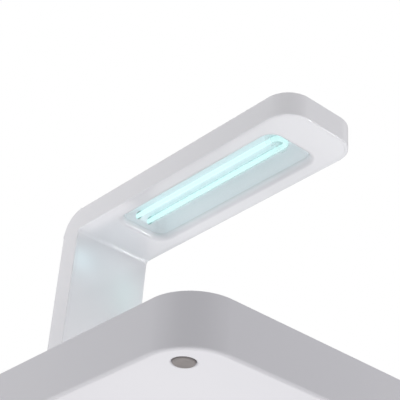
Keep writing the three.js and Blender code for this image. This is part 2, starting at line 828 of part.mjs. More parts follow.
// Straight runs with a curve at each corner
function roundedPath(corners, bend) {
  const path = new THREE.CurvePath();
  let from = corners[0];
  for (let index = 1; index + 1 < corners.length; index += 1) {
    const corner = corners[index];
    const back = corners[index - 1].clone().sub(corner);
    const ahead = corners[index + 1].clone().sub(corner);
    const reach = Math.min(bend, back.length() / 2.1, ahead.length() / 2.1);
    const before = corner.clone().add(back.setLength(reach));
    const after = corner.clone().add(ahead.setLength(reach));
    path.add(new THREE.LineCurve3(from, before));
    path.add(new THREE.QuadraticBezierCurve3(before, corner, after));
    from = after;
  }
  path.add(new THREE.LineCurve3(from, corners.at(-1)));
  return path;
}

// Lead: from the lamp holder round the elbow, down the leg, under the control board and up to the driver
function lampLead() {
  const turnX = (legBackX + legFrontX) / 2 + (tubeZ - rimZ) * Math.tan(lean);
  const underBoardZ = (floorTopZ + boardUnderZ) / 2;
  const driverInZ = boardTopZ + connectorHeight / 2;
  const riseX = (boardFrontX + driverRearX) / 2;
  const corners = [
    [holderRearX - seatGap, tubeZ],
    [turnX, tubeZ],
    [spigotMiddleX, legBottomZ + 2 * footPlate],
    [spigotMiddleX, underBoardZ],
    [riseX, underBoardZ],
    [riseX, driverInZ],
    [driverRearX + connectorInset - seatGap, driverInZ],
  ].map(([x, z]) => new THREE.Vector3(x, 0, z));
  const settings = { steps: leadSteps, extrudePath: roundedPath(corners, leadBend), bevelEnabled: false };
  return solidOf(new THREE.ExtrudeGeometry(circleShape(leadDiameter / 2, leadSides), settings));
}

// A part soldered on a board: a block, or a round can
const partRootZ = boardTopZ - boardThickness / 4;

function blockOnBoard(x, y, length, width, height) {
  return box(x - length / 2, x + length / 2, y - width / 2, y + width / 2, partRootZ, boardTopZ + height);
}

function canOnBoard(x, y) {
  return cylinder(canDiameter, x, y, partRootZ, boardTopZ + canHeight, plainSteps);
}

function plainBoard(length, width, middleX) {
  const levels = [[0, boardUnderZ], [0, boardTopZ]];
  return stackedRectangle(length, width, boardCornerRadius, levels, middleX, edgeSteps);
}

function drilled(board, places) {
  const hole = ([x, y]) => plainRound(boardScrewHole, x, y, boardUnderZ - past, boardTopZ + past);
  return board.subtract(joined(places.map(hole)));
}

// Control board: notched round the arm's socket, with its chips, its cans and the status light's lamp
function controlBoard() {
  const notchFrontX = boardFrontX - boardBridge;
  const notch = box(boardRearX - past, notchFrontX, -notchReach, notchReach, floorTopZ, rimZ);
  const board = plainBoard(boardLength, boardWidth, (boardRearX + boardFrontX) / 2).subtract(notch);
  const chipX = boardFrontX - boardBridge / 2;
  const canY = 2 * chipSize + canDiameter / 2;
  return drilled(joined([
    board,
    blockOnBoard(chipX, 0, chipSize, chipSize, chipHeight),
    blockOnBoard(chipX, -2 * chipSize, chipSize / 2, chipSize, chipHeight),
    canOnBoard(chipX, canY),
    canOnBoard(chipX, canY + canDiameter * 1.5),
    blockOnBoard(shelfMiddleX, -lightOffset, ledSize, ledSize, ledHeight),
  ]), boardPosts());
}

// Driver: its own small board with the step-up transformer, two cans and the lead's connector
function lampDriver() {
  const coreX = (transformerLength - coreThickness) / 2;
  const connectorX = driverRearX + connectorInset + connectorLength / 2;
  const canX = driverMiddleX + transformerLength / 2 + canDiameter;
  return drilled(joined([
    plainBoard(driverLength, driverWidth, driverMiddleX),
    blockOnBoard(driverMiddleX, 0, transformerLength - coreThickness, windingWidth, transformerHeight - 1),
    blockOnBoard(driverMiddleX - coreX, 0, coreThickness, transformerWidth, transformerHeight),
    blockOnBoard(driverMiddleX + coreX, 0, coreThickness, transformerWidth, transformerHeight),
    blockOnBoard(connectorX, 0, connectorLength, connectorWidth, connectorHeight),
    canOnBoard(canX, canDiameter * 0.7),
    canOnBoard(canX, -canDiameter * 0.7),
  ]), driverPosts());
}

// A pan-head screw, turned from its point to the crown of its head, bearing at z = 0
function screwProfile(diameter, length, headDiameter, headHeight) {
  const pointHeight = 0.4 * diameter;
  const crownRadius = 0.36 * headDiameter;
  return [
    [0, -length], [diameter / 2, -length + pointHeight], [diameter / 2, 0],
    [headDiameter / 2, 0], [headDiameter / 2, headHeight / 2], [crownRadius, headHeight], [0, headHeight],
  ];
}

// Case screws are driven from below, and board screws from above
function caseScrew(x, y, bearingZ) {
  const profile = screwProfile(baseScrewDiameter, baseScrewLength, baseScrewHead, baseScrewHeadHeight);
  return turned(profile.map(([radius, z]) => [radius, bearingZ - z]).reverse(), x, y, hiddenSteps);
}

function boardScrew(x, y) {
  const profile = screwProfile(boardScrewDiameter, boardScrewLength, boardScrewHead, boardScrewHeadHeight);
  return turned(profile.map(([radius, z]) => [radius, boardTopZ + seatGap + z]), x, y, hiddenSteps);
}

// Foot: a rubber disc with a rounded lower rim and a shallow dished face
function foot(x, y) {
  const radius = footDiameter / 2;
  const topZ = undersideZ + footPocketDepth - seatGap;
  const dishRadius = footDishDiameter / 2;
  const profile = [[0, footDishDepth], [dishRadius, footDishDepth], [dishRadius + 2 * footDishDepth, 0]];
  for (const [inwards, up] of softEdge(footEdgeRadius).reverse()) {
    profile.push([radius - inwards, up]);
  }
  profile.push([radius, topZ], [0, topZ]);
  return turned(profile, x, y, plainSteps);
}

// Mat: a thin silicone sheet with raised cross ribs, which keep the phone's back in the light
function tray() {
  const inset = wellDraft + wellFloorRadius + seatGap;
  const lowZ = wellFloorZ + seatGap;
  const topZ = lowZ + matThickness;
  const levels = [[inset, lowZ], [inset, topZ]];
  const sheet = stackedRectangle(wellLength, wellWidth, wellCornerRadius, levels, wellMiddleX);
  const ribHalf = wellWidth / 2 - inset - matRibMargin;
  const reach = wellLength / 2 - inset - matRibMargin;
  const count = Math.floor(reach / matRibSpacing);
  const ribs = [];
  for (let place = -count; place <= count; place += 1) {
    ribs.push(matRib(wellMiddleX + place * matRibSpacing, ribHalf, topZ));
  }
  return sheet.add(joined(ribs));
}

function matRib(x, half, topZ) {
  const slope = (matRibFoot - matRibTop) / 2;
  const levels = [[0, topZ - matThickness / 2], [0, topZ], [slope, topZ + matRibHeight]];
  return stackedRectangle(matRibFoot, 2 * half, matRibFoot / 2, levels, x, 2);
}

// Button: a crowned cap with a flange under the deck and a stem down to the switch
function pushButton(y) {
  const radius = buttonDiameter / 2;
  const flangeRadius = radius + buttonFlange;
  const stemLowZ = plungerTopZ + seatGap;
  const topZ = deckZ + buttonProud;
  const flangeTopZ = deckUnderZ - seatGap;
  const flangeLowZ = flangeTopZ - buttonFlangeThickness;
  const profile = [
    [0, stemLowZ], [stemDiameter / 2, stemLowZ], [stemDiameter / 2, flangeLowZ],
    [flangeRadius, flangeLowZ], [flangeRadius, flangeTopZ], [radius, flangeTopZ],
  ];
  for (const [inwards, below] of softEdge(buttonEdge)) {
    profile.push([radius - inwards, topZ - below]);
  }
  profile.push([radius * 0.4, topZ + buttonCrown * 0.8], [0, topZ + buttonCrown]);
  return turned(profile, shelfMiddleX, y);
}

function tactSwitch(y) {
  const half = switchSize / 2;
  const lowZ = boardTopZ + seatGap;
  const body = box(shelfMiddleX - half, shelfMiddleX + half, y - half, y + half, lowZ, switchTopZ);
  const boreLowZ = switchTopZ - plungerSunk - buttonTravel - seatGap;
  const boreDiameter = plungerDiameter + 2 * seatGap;
  return body.subtract(cylinder(boreDiameter, shelfMiddleX, y, boreLowZ, switchTopZ + past, plainSteps));
}

function plunger(y) {
  return cylinder(plungerDiameter, shelfMiddleX, y, switchTopZ - plungerSunk, plungerTopZ, plainSteps);
}

// Light pipe: a clear pin from its lamp up through the deck, held by a flange under it
function statusLight() {
  const radius = lightDiameter / 2;
  const flangeRadius = radius + lightFlange;
  const lowZ = boardTopZ + ledHeight + seatGap;
  const flangeTopZ = deckUnderZ - seatGap;
  const flangeLowZ = flangeTopZ - lightFlangeThickness;
  return turned([
    [0, lowZ], [radius, lowZ], [radius, flangeLowZ], [flangeRadius, flangeLowZ], [flangeRadius, flangeTopZ],
    [radius, flangeTopZ], [radius, deckZ], [0, deckZ + lightProud],
  ], shelfMiddleX, -lightOffset, plainSteps);
}

const object = new THREE.Group();

function place(name, solid, color, roughness, metalness = 0) {
  const material = new THREE.MeshStandardMaterial({ color, roughness, metalness });
  const mesh = new THREE.Mesh(geometryOf(solid), material);
  mesh.name = name;
  object.add(mesh);
}

const white = 0xe9e7ea;
const softGrey = 0xb9b6b8;
const rubberGrey = 0x9d9896;
const switchBlack = 0x2a2a2c;
const boardGreen = 0x2f6b46;
const steel = 0xb8babd;
const brightSheet = 0xd5dde0;
const clearTint = 0xd8f3f0;
const glassTint = 0xd9fff8;
const warmWhite = 0xdedcd6;

place('base_tub', baseTub(), white, 0.35);
place('tray_deck', deck(), white, 0.35);
place('tray_mat', tray(), softGrey, 0.8);
for (const { name, x, y } of feetPlaces()) {
  place(`foot_${name}`, foot(x, y), rubberGrey, 0.85);
  place(`base_screw_${name}`, caseScrew(x, y, screwBearingZ - seatGap), steel, 0.35, 0.9);
}
place('control_board', controlBoard(), boardGreen, 0.6);
place('lamp_driver', lampDriver(), boardGreen, 0.6);
[...boardPosts(), ...driverPosts()].forEach(([x, y], index) => {
  place(`board_screw_${index + 1}`, boardScrew(x, y), steel, 0.35, 0.9);
});
place('power_inlet', powerInlet(), steel, 0.3, 0.9);
for (const { name, y } of buttonPlaces()) {
  place(`${name}_button`, pushButton(y), white, 0.3);
  place(`${name}_switch`, tactSwitch(y), switchBlack, 0.5);
  place(`${name}_plunger`, plunger(y), softGrey, 0.5);
}
place('status_light', statusLight(), clearTint, 0.15);
place('arm_shell', armShell(), white, 0.3);
place('arm_cover', armCover(), white, 0.3);
armScrewPlaces().forEach((y, index) => {
  place(`arm_screw_${index + 1}`, caseScrew(spigotMiddleX, y, socketBottomZ - seatGap), steel, 0.35, 0.9);
});
place('reflector', reflector(), brightSheet, 0.25, 0.6);
place('uv_lamp_tube', lampTube(), glassTint, 0.1);
place('lamp_holder', lampHolder(), warmWhite, 0.5);
place('lamp_clip', lampClip(), clearTint, 0.3);
place('lamp_lead', lampLead(), warmWhite, 0.6);

export default object;
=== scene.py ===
# Desktop sanitizer for phones: a rounded tray base, and a bent arm that holds a lit U-shaped tube.
# Sizes are in millimetres and turned into metres where a shape is made.
import math

import bmesh
import bpy
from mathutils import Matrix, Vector


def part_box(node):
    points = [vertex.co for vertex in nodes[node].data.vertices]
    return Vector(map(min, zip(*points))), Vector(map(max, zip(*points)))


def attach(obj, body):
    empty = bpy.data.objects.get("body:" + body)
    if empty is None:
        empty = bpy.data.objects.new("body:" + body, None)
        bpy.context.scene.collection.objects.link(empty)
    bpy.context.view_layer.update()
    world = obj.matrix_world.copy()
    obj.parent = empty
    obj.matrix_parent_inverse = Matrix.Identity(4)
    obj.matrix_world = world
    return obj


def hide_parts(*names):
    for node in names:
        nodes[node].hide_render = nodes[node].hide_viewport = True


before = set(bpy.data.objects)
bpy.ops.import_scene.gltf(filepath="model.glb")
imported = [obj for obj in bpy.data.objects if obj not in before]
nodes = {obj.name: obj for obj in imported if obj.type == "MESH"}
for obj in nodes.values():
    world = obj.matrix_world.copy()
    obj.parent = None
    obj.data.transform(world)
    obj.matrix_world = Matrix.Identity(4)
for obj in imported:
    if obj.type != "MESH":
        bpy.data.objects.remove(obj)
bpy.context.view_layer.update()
mm = 0.001
print("frame loaded with", len(nodes), "nodes")

camera = {
    "place": (532.26, -445.24, -275.33),
    "turn": (122.34, -3.04, 48.049),
    "lens": 121.56,
    "sensor": 36,
    "clipStart": 0.02,
}


def clearSelection():
    if bpy.context.object and bpy.context.object.mode != "OBJECT":
        bpy.ops.object.mode_set(mode="OBJECT")
    bpy.ops.object.select_all(action="DESELECT")


def makeCamera():
    clearSelection()
    bpy.ops.object.camera_add(
        location=[value * mm for value in camera["place"]],
        rotation=[math.radians(angle) for angle in camera["turn"]],
    )
    seen = bpy.context.object
    seen.name = "productCamera"
    seen.data.sensor_width = camera["sensor"]
    seen.data.lens = camera["lens"]
    seen.data.clip_start = camera["clipStart"]
    bpy.context.scene.camera = seen


makeCamera()
bpy.context.scene.view_settings.view_transform = "Standard"
print("camera placed")

light = {
    # mirrored in the plastic, these would wash out the top of the head seen at a low angle
    "unmirrored": (
        "rearPanel", "farPanel", "leftPanel", "headSidePanel", "headTipPanel", "legSidePanel",
    ),
    "armOnly": ("creasePanel", "legSidePanel"),
    "worldTone": (0.985, 0.985, 1.0),
    "worldStrength": 0.38,
    "panels": [  # name, place, aim, width and height, power, colour
        ("underPanel", (100, -100, -700), (0, 0, 60), (900, 900), 4.25, (1.0, 0.99, 0.985)),
        ("underRearPanel", (-500, 450, -420), (0, 0, 90), (400, 400), 0.728, (1.0, 1.0, 1.0)),
        ("leftLowPanel", (-590, -625, -60), (0, 0, 60), (500, 500), 1.14, (1.0, 1.0, 1.0)),
        ("rightLowPanel", (650, 505, -60), (0, 0, 60), (500, 500), 0.86, (1.0, 0.99, 1.0)),
        ("leftPanel", (-620, -560, 420), (0, 0, 90), (500, 500), 0.8, (1.0, 1.0, 1.0)),
        ("headSidePanel", (0, -400, 280), (0, 0, 172), (200, 200), 0.235, (1.0, 1.0, 1.0)),
        ("legSidePanel", (-110, -205, 130), (-105, 0, 130), (120, 120), 0.05, (1.0, 1.0, 1.0)),
        ("headTipPanel", (410, -10, 280), (100, 0, 172), (200, 200), 0.235, (1.0, 0.99, 1.0)),
        ("deckBounce", (-20, 0, 42), (-60, 0, 200), (90, 110), 0.035, (1.0, 1.0, 1.0)),
        ("elbowBounce", (-57, -26, 158), (-57, -26, 172), (46, 6), 0.00044, (1.0, 0.94, 0.92)),
        ("creasePanel", (300, 470, -450), (-82, 14, 163), (80, 80), 1.0, (0.95, 0.985, 1.0)),
        ("tubeBounce", (2, 0, 170.2), (2, 0, 200), (114, 10), 0.0009, (0.75, 1.0, 1.0)),
        ("legBounce", (-52, -10, 145), (-86, -20, 138), (24, 20), 0.0005, (0.4, 0.95, 1.0)),
        ("legSpotBounce", (-73, -22, 144), (-86, -22, 144), (10, 10), 0.00028, (0.6, 0.95, 1.0)),
        ("legStreakBounce", (-68, 14, 132), (-86, 14, 132), (8, 26), 0.0003, (0.1, 1.0, 0.8)),
        ("topPanel", (-60, 40, 900), (0, 0, 0), (800, 800), 3.4, (1.0, 1.0, 1.0)),
        ("rearPanel", (-850, 150, 350), (0, 0, 90), (600, 600), 3.0, (1.0, 1.0, 1.0)),
        ("farPanel", (150, 850, 350), (0, 0, 90), (600, 600), 3.0, (1.0, 1.0, 1.0)),
    ],
}


def makeWorld():
    world = bpy.data.worlds.new("paleStudio")
    bpy.context.scene.world = world
    world.use_nodes = True
    tree = world.node_tree
    ambient = tree.nodes["Background"]
    ambient.inputs["Color"].default_value = (*light["worldTone"], 1)
    ambient.inputs["Strength"].default_value = light["worldStrength"]
    backdrop = tree.nodes.new("ShaderNodeBackground")
    backdrop.inputs["Color"].default_value = (1, 1, 1, 1)
    backdrop.inputs["Strength"].default_value = 1.0
    path = tree.nodes.new("ShaderNodeLightPath")
    straight = tree.nodes.new("ShaderNodeMath")
    straight.operation = "MAXIMUM"
    tree.links.new(path.outputs["Is Camera Ray"], straight.inputs[0])
    tree.links.new(path.outputs["Is Transmission Ray"], straight.inputs[1])
    choose = tree.nodes.new("ShaderNodeMixShader")
    tree.links.new(straight.outputs["Value"], choose.inputs["Fac"])
    tree.links.new(ambient.outputs["Background"], choose.inputs[1])
    tree.links.new(backdrop.outputs["Background"], choose.inputs[2])
    tree.links.new(choose.outputs["Shader"], tree.nodes["World Output"].inputs["Surface"])


def makePanels():
    for name, place, aim, size, power, tone in light["panels"]:
        clearSelection()
        spot = Vector(place) * mm
        bpy.ops.object.light_add(type="AREA", location=spot)
        panel = bpy.context.object
        panel.name = name
        panel.rotation_euler = (Vector(aim) * mm - spot).to_track_quat("-Z", "Y").to_euler()
        panel.data.shape = "RECTANGLE"
        panel.data.size = size[0] * mm
        panel.data.size_y = size[1] * mm
        panel.data.energy = power
        panel.data.color = tone
        panel.visible_camera = False
        # a bounce stands for light thrown back by a near face, so no mirror image of it shows
        panel.visible_glossy = not name.endswith("Bounce") and name not in light["unmirrored"]


# Helpers for modelling by hand: a part is made active, its edges or faces are picked by place, then shaped
def makeActive(piece):
    clearSelection()
    piece.select_set(True)
    bpy.context.view_layer.objects.active = piece


def applyPlace():
    bpy.ops.object.transform_apply(location=True, rotation=True, scale=True)


def addBlock(name, low, high):
    clearSelection()
    bpy.ops.mesh.primitive_cube_add(size=1, location=[(a + b) / 2 * mm for a, b in zip(low, high)])
    block = bpy.context.object
    block.name = name
    block.scale = [(b - a) * mm for a, b in zip(low, high)]
    applyPlace()
    return block


def addCylinder(name, radius, depth, place, turn, sides):
    clearSelection()
    bpy.ops.mesh.primitive_cylinder_add(
        vertices=sides, radius=radius * mm, depth=depth * mm,
        location=[value * mm for value in place], rotation=turn,
    )
    piece = bpy.context.object
    piece.name = name
    applyPlace()
    return piece


def addRound(name, radius, x, y, low, high, sides=48):  # upright
    return addCylinder(name, radius, high - low, (x, y, (low + high) / 2), (0, 0, 0), sides)


def addBar(name, radius, y, z, low, high, sides=32):  # along X
    return addCylinder(name, radius, high - low, ((low + high) / 2, y, z), (0, math.pi / 2, 0), sides)


def pick(piece, kind, test):  # leaves the piece in edit mode with what passes the test selected
    makeActive(piece)
    bpy.ops.object.mode_set(mode="EDIT")
    bpy.ops.mesh.select_mode(type=kind)
    bpy.ops.mesh.select_all(action="DESELECT")
    shape = bmesh.from_edit_mesh(piece.data)
    shape.normal_update()
    parts = {"VERT": shape.verts, "EDGE": shape.edges, "FACE": shape.faces}[kind]
    found = [part for part in parts if test(part)]
    for part in found:
        part.select_set(True)
    shape.select_flush_mode()
    bmesh.update_edit_mesh(piece.data)
    if not found:
        print("nothing picked on", piece.name)
    return len(found)


def pickAll(piece):
    makeActive(piece)
    bpy.ops.object.mode_set(mode="EDIT")
    bpy.ops.mesh.select_all(action="SELECT")


def done():
    bpy.ops.object.mode_set(mode="OBJECT")


def pickFaces(piece, z):
    return pick(piece, "FACE", lambda face: at(face.calc_center_median().z, z))


def pickCorners(piece, z):
    return pick(piece, "VERT", lambda corner: at(corner.co.z, z))


def roundEdges(piece, radius, test, steps=2):
    if pick(piece, "EDGE", test):
        bpy.ops.mesh.bevel(offset=radius * mm, segments=steps, affect="EDGES", clamp_overlap=False)
    done()


def move(x, y, z):
    bpy.ops.transform.translate(value=(x * mm, y * mm, z * mm))


def extrude(x, y, z):
    bpy.ops.mesh.extrude_region_move(TRANSFORM_OT_translate={"value": (x * mm, y * mm, z * mm)})


facing = 0.9  # least part of a face's normal along an axis for the face to look straight that way
mostly = 0.5  # and for it to look mostly that way
nearlyHalf = 0.02  # a round end stays this much short of a half circle, so that its two bevels don't meet


def at(value, target, slack=0.03):  # a coordinate in metres against a size in millimetres
    return abs(value - target * mm) < slack * mm


def near(point, x, y, reach):
    return math.hypot(point.x / mm - x, point.y / mm - y) < reach


def upright(edge, slack=0.001):
    first, second = (corner.co for corner in edge.verts)
    return abs(first.x - second.x) < slack * mm and abs(first.y - second.y) < slack * mm


def level(edge, z):
    return all(at(corner.co.z, z) for corner in edge.verts)


def middle(edge):
    return (edge.verts[0].co + edge.verts[1].co) / 2


def sharp(edge, degrees=50):
    return len(edge.link_faces) == 2 and edge.calc_face_angle() > math.radians(degrees)


def applyModifier(piece, kind, **settings):
    makeActive(piece)
    modifier = piece.modifiers.new("shaping", kind)
    for name, value in settings.items():
        setattr(modifier, name, value)
    bpy.ops.object.modifier_apply(modifier=modifier.name)


def combine(piece, other, how="DIFFERENCE"):  # the other piece is used up
    applyModifier(piece, "BOOLEAN", operation=how, solver="EXACT", object=other)
    bpy.data.objects.remove(other)


def join(piece, others):
    makeActive(piece)
    for other in others:
        other.select_set(True)
    bpy.ops.object.join()


def softenEdges(piece, radius, steps=2, angle=50):
    applyModifier(
        piece, "BEVEL", width=radius * mm, segments=steps, limit_method="ANGLE", angle_limit=math.radians(angle),
    )


def thicken(piece, thickness, offset):
    applyModifier(piece, "SOLIDIFY", thickness=thickness * mm, offset=offset, use_even_offset=True)


def smooth(piece, angle=35):
    makeActive(piece)
    bpy.ops.object.shade_smooth_by_angle(angle=math.radians(angle))
    applyModifier(piece, "WEIGHTED_NORMAL", keep_sharp=True, weight=80)


def settle(piece, body, slot, finish, *replaced):
    piece.data.materials.clear()
    piece.data.materials.append(finish)
    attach(piece, body)
    if replaced:
        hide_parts(*replaced)


def middleOf(node):  # the middle of a CAD node's box, in millimetres
    low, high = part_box(node)
    return (low / mm + high / mm) / 2


# Finishes, all made from nodes on Object coordinates
def newFinish(name):
    finish = bpy.data.materials.new(name)
    finish.use_nodes = True
    return finish, finish.node_tree, finish.node_tree.nodes["Principled BSDF"]


def objectPlace(tree):
    return tree.nodes.new("ShaderNodeTexCoord").outputs["Object"]


def addNoise(tree, place, scale, detail=2.0):
    noise = tree.nodes.new("ShaderNodeTexNoise")
    noise.inputs["Scale"].default_value = scale
    noise.inputs["Detail"].default_value = detail
    tree.links.new(place, noise.inputs["Vector"])
    return noise.outputs["Fac"]


def addRamp(tree, value, low, high, ends=(0.35, 0.65)):  # two colours, and the values where they start
    ramp = tree.nodes.new("ShaderNodeValToRGB")
    for element, position, colour in zip(ramp.color_ramp.elements, ends, (low, high)):
        element.position = position
        element.color = (*colour, 1)
    tree.links.new(value, ramp.inputs["Fac"])
    return ramp.outputs["Color"]


def addRange(tree, value, low, high):
    spread = tree.nodes.new("ShaderNodeMapRange")
    spread.inputs["To Min"].default_value = low
    spread.inputs["To Max"].default_value = high
    tree.links.new(value, spread.inputs["Value"])
    return spread.outputs["Result"]


def addBump(tree, height, strength, depth):
    bump = tree.nodes.new("ShaderNodeBump")
    bump.inputs["Strength"].default_value = strength
    bump.inputs["Distance"].default_value = depth * mm
    tree.links.new(height, bump.inputs["Height"])
    return bump.outputs["Normal"]


def mouldedFinish(name, look):  # plastic, silicone or rubber: slow tone change and a fine mould grain
    finish, tree, shader = newFinish(name)
    place = objectPlace(tree)
    patches = addNoise(tree, place, look["patchScale"])
    tone = addRamp(tree, patches, look["tone"], look["otherTone"])
    tree.links.new(tone, shader.inputs["Base Color"])
    grain = addNoise(tree, place, look["grainScale"], detail=3.0)
    tree.links.new(addRange(tree, grain, *look["roughness"]), shader.inputs["Roughness"])
    tree.links.new(addBump(tree, grain, look["grainStrength"], look["grainDepth"]), shader.inputs["Normal"])
    shader.inputs["IOR"].default_value = look.get("ior", 1.5)
    return finish


# the base's and deck's tone is painted darker than the arm's, though both are the same white plastic: painted shade
# for the lesser light on the base
shadedShellLook = {
    "tone": (0.71, 0.703, 0.735), "otherTone": (0.695, 0.69, 0.725), "patchScale": 14,
    "grainScale": 2600, "roughness": (0.27, 0.37), "grainStrength": 0.12, "grainDepth": 0.02,
}
armLook = {
    "tone": (0.81, 0.806, 0.83), "otherTone": (0.798, 0.796, 0.822), "patchScale": 12,
    "grainScale": 2600, "roughness": (0.11, 0.15), "grainStrength": 0.04, "grainDepth": 0.02, "ior": 1.62,
}
reflectorLook = {
    "tone": (0.875, 0.93, 0.96), "otherTone": (0.855, 0.915, 0.945), "patchScale": 22,
    "grainScale": 1800, "roughness": (0.22, 0.32), "grainStrength": 0.1, "grainDepth": 0.02,
}
matLook = {
    "tone": (0.47, 0.475, 0.49), "otherTone": (0.44, 0.445, 0.46), "patchScale": 25,
    "grainScale": 3800, "roughness": (0.55, 0.7), "grainStrength": 0.35, "grainDepth": 0.05,
}
footLook = {
    "tone": (0.265, 0.242, 0.237), "otherTone": (0.24, 0.22, 0.215), "patchScale": 160,
    "grainScale": 3200, "roughness": (0.62, 0.8), "grainStrength": 0.45, "grainDepth": 0.06,
}
buttonLook = {
    "tone": (0.78, 0.775, 0.79), "otherTone": (0.765, 0.76, 0.78), "patchScale": 60,
    "grainScale": 2400, "roughness": (0.2, 0.28), "grainStrength": 0.08, "grainDepth": 0.02,
}
switchLook = {
    "tone": (0.03, 0.03, 0.032), "otherTone": (0.04, 0.04, 0.042), "patchScale": 300,
    "grainScale": 4000, "roughness": (0.4, 0.55), "grainStrength": 0.2, "grainDepth": 0.02,
}
plungerLook = {
    "tone": (0.6, 0.59, 0.57), "otherTone": (0.55, 0.54, 0.52), "patchScale": 300,
    "grainScale": 4000, "roughness": (0.35, 0.5), "grainStrength": 0.15, "grainDepth": 0.02,
}
holderLook = {
    "tone": (0.74, 0.73, 0.69), "otherTone": (0.7, 0.69, 0.65), "patchScale": 90,
    "grainScale": 2600, "roughness": (0.45, 0.6), "grainStrength": 0.2, "grainDepth": 0.03,
}
leadLook = {
    "tone": (0.7, 0.69, 0.66), "otherTone": (0.66, 0.65, 0.62), "patchScale": 70,
    "grainScale": 3000, "roughness": (0.5, 0.62), "grainStrength": 0.2, "grainDepth": 0.03,
}


metalLook = {"lineScale": 900, "darker": 0.86, "lineStrength": 0.15, "lineDepth": 0.01}


def metalFinish(name, tone, roughness, stretch):  # fine draw lines along one axis
    finish, tree, shader = newFinish(name)
    lines = tree.nodes.new("ShaderNodeMapping")
    lines.inputs["Scale"].default_value = stretch
    tree.links.new(objectPlace(tree), lines.inputs["Vector"])
    drawn = addNoise(tree, lines.outputs["Vector"], metalLook["lineScale"], detail=3.0)
    dark = tuple(value * metalLook["darker"] for value in tone)
    tree.links.new(addRamp(tree, drawn, dark, tone, ends=(0.3, 0.7)), shader.inputs["Base Color"])
    tree.links.new(addRange(tree, drawn, *roughness), shader.inputs["Roughness"])
    bump = addBump(tree, drawn, metalLook["lineStrength"], metalLook["lineDepth"])
    tree.links.new(bump, shader.inputs["Normal"])
    shader.inputs["Metallic"].default_value = 1.0
    return finish


boardLook = {
    "trackScale": 260, "trackWidth": 0.03, "trackTone": (0.05, 0.24, 0.09),
    "maskTone": (0.015, 0.11, 0.04), "otherMaskTone": (0.02, 0.13, 0.05),
    "partsLow": 10.65, "partScale": 500, "partTone": (0.03, 0.03, 0.033), "otherPartTone": (0.05, 0.05, 0.052),
    "roughness": 0.35, "trackStrength": 0.2, "trackDepth": 0.03,
}


def boardFinish(name):  # green mask with tracks, and dark parts above the board's top
    finish, tree, shader = newFinish(name)
    place = objectPlace(tree)
    tracks = tree.nodes.new("ShaderNodeTexBrick")
    tracks.inputs["Scale"].default_value = boardLook["trackScale"]
    tracks.inputs["Mortar Size"].default_value = boardLook["trackWidth"]
    tracks.inputs["Color1"].default_value = (*boardLook["maskTone"], 1)
    tracks.inputs["Color2"].default_value = (*boardLook["otherMaskTone"], 1)
    tracks.inputs["Mortar"].default_value = (*boardLook["trackTone"], 1)
    tree.links.new(place, tracks.inputs["Vector"])
    axes = tree.nodes.new("ShaderNodeSeparateXYZ")
    tree.links.new(place, axes.inputs["Vector"])
    above = tree.nodes.new("ShaderNodeMath")
    above.operation = "GREATER_THAN"
    above.inputs[1].default_value = boardLook["partsLow"] * mm
    tree.links.new(axes.outputs["Z"], above.inputs[0])
    cloud = addNoise(tree, place, boardLook["partScale"])
    parts = addRamp(tree, cloud, boardLook["partTone"], boardLook["otherPartTone"], ends=(0.4, 0.6))
    choose = tree.nodes.new("ShaderNodeMix")
    choose.data_type = "RGBA"
    tree.links.new(above.outputs["Value"], choose.inputs["Factor"])
    tree.links.new(tracks.outputs["Color"], choose.inputs["A"])
    tree.links.new(parts, choose.inputs["B"])
    tree.links.new(choose.outputs["Result"], shader.inputs["Base Color"])
    bump = addBump(tree, tracks.outputs["Fac"], boardLook["trackStrength"], boardLook["trackDepth"])
    tree.links.new(bump, shader.inputs["Normal"])
    shader.inputs["Roughness"].default_value = boardLook["roughness"]
    return finish


clearLook = {"streakScale": 300, "paler": 1.06, "rougher": 1.6}


def clearFinish(name, tone, alpha, roughness):  # thin clear plastic or glass with faint streaks
    finish, tree, shader = newFinish(name)
    streaks = addNoise(tree, objectPlace(tree), clearLook["streakScale"])
    pale = tuple(min(1.0, value * clearLook["paler"]) for value in tone)
    tree.links.new(addRamp(tree, streaks, tone, pale, ends=(0.3, 0.7)), shader.inputs["Base Color"])
    rough = addRange(tree, streaks, roughness, roughness * clearLook["rougher"])
    tree.links.new(rough, shader.inputs["Roughness"])
    shader.inputs["Alpha"].default_value = alpha
    return finish


glowLook = {
    "tone": (0.69, 1.0, 0.99), "deepTone": (0.64, 0.98, 0.97), "flowScale": 12, "strength": 1.0,
    "unlitTone": (0.12, 0.15, 0.15), "roughness": 0.3,
}


def glowFinish(name):
    finish, tree, shader = newFinish(name)
    flow = addNoise(tree, objectPlace(tree), glowLook["flowScale"], detail=1.0)
    glow = addRamp(tree, flow, glowLook["tone"], glowLook["deepTone"])
    tree.links.new(glow, shader.inputs["Emission Color"])
    shader.inputs["Emission Strength"].default_value = glowLook["strength"]
    shader.inputs["Base Color"].default_value = (*glowLook["unlitTone"], 1)
    shader.inputs["Roughness"].default_value = glowLook["roughness"]
    return finish


makeWorld()
makePanels()
print("world and panels made")

shadedShellFinish = mouldedFinish("baseWhitePaintedShade", shadedShellLook)
armFinish = mouldedFinish("armWhite", armLook)
reflectorFinish = mouldedFinish("reflectorSatin", reflectorLook)
matFinish = mouldedFinish("matSilicone", matLook)
footFinish = mouldedFinish("footRubber", footLook)
buttonFinish = mouldedFinish("buttonWhite", buttonLook)
switchFinish = mouldedFinish("switchBlack", switchLook)
plungerFinish = mouldedFinish("plungerGrey", plungerLook)
holderFinish = mouldedFinish("holderCream", holderLook)
leadFinish = mouldedFinish("leadSleeve", leadLook)
screwFinish = metalFinish("screwSteel", tone=(0.62, 0.62, 0.63), roughness=(0.25, 0.4), stretch=(1, 1, 0.05))
inletFinish = metalFinish("inletSteel", tone=(0.6, 0.61, 0.63), roughness=(0.22, 0.36), stretch=(0.05, 1, 1))
boardGreen = boardFinish("boardGreen")
glassFinish = clearFinish("tubeGlass", tone=(0.72, 0.94, 0.91), alpha=0.3, roughness=0.04)
clipFinish = clearFinish("clipClear", tone=(0.88, 0.97, 0.98), alpha=0.12, roughness=0.4)
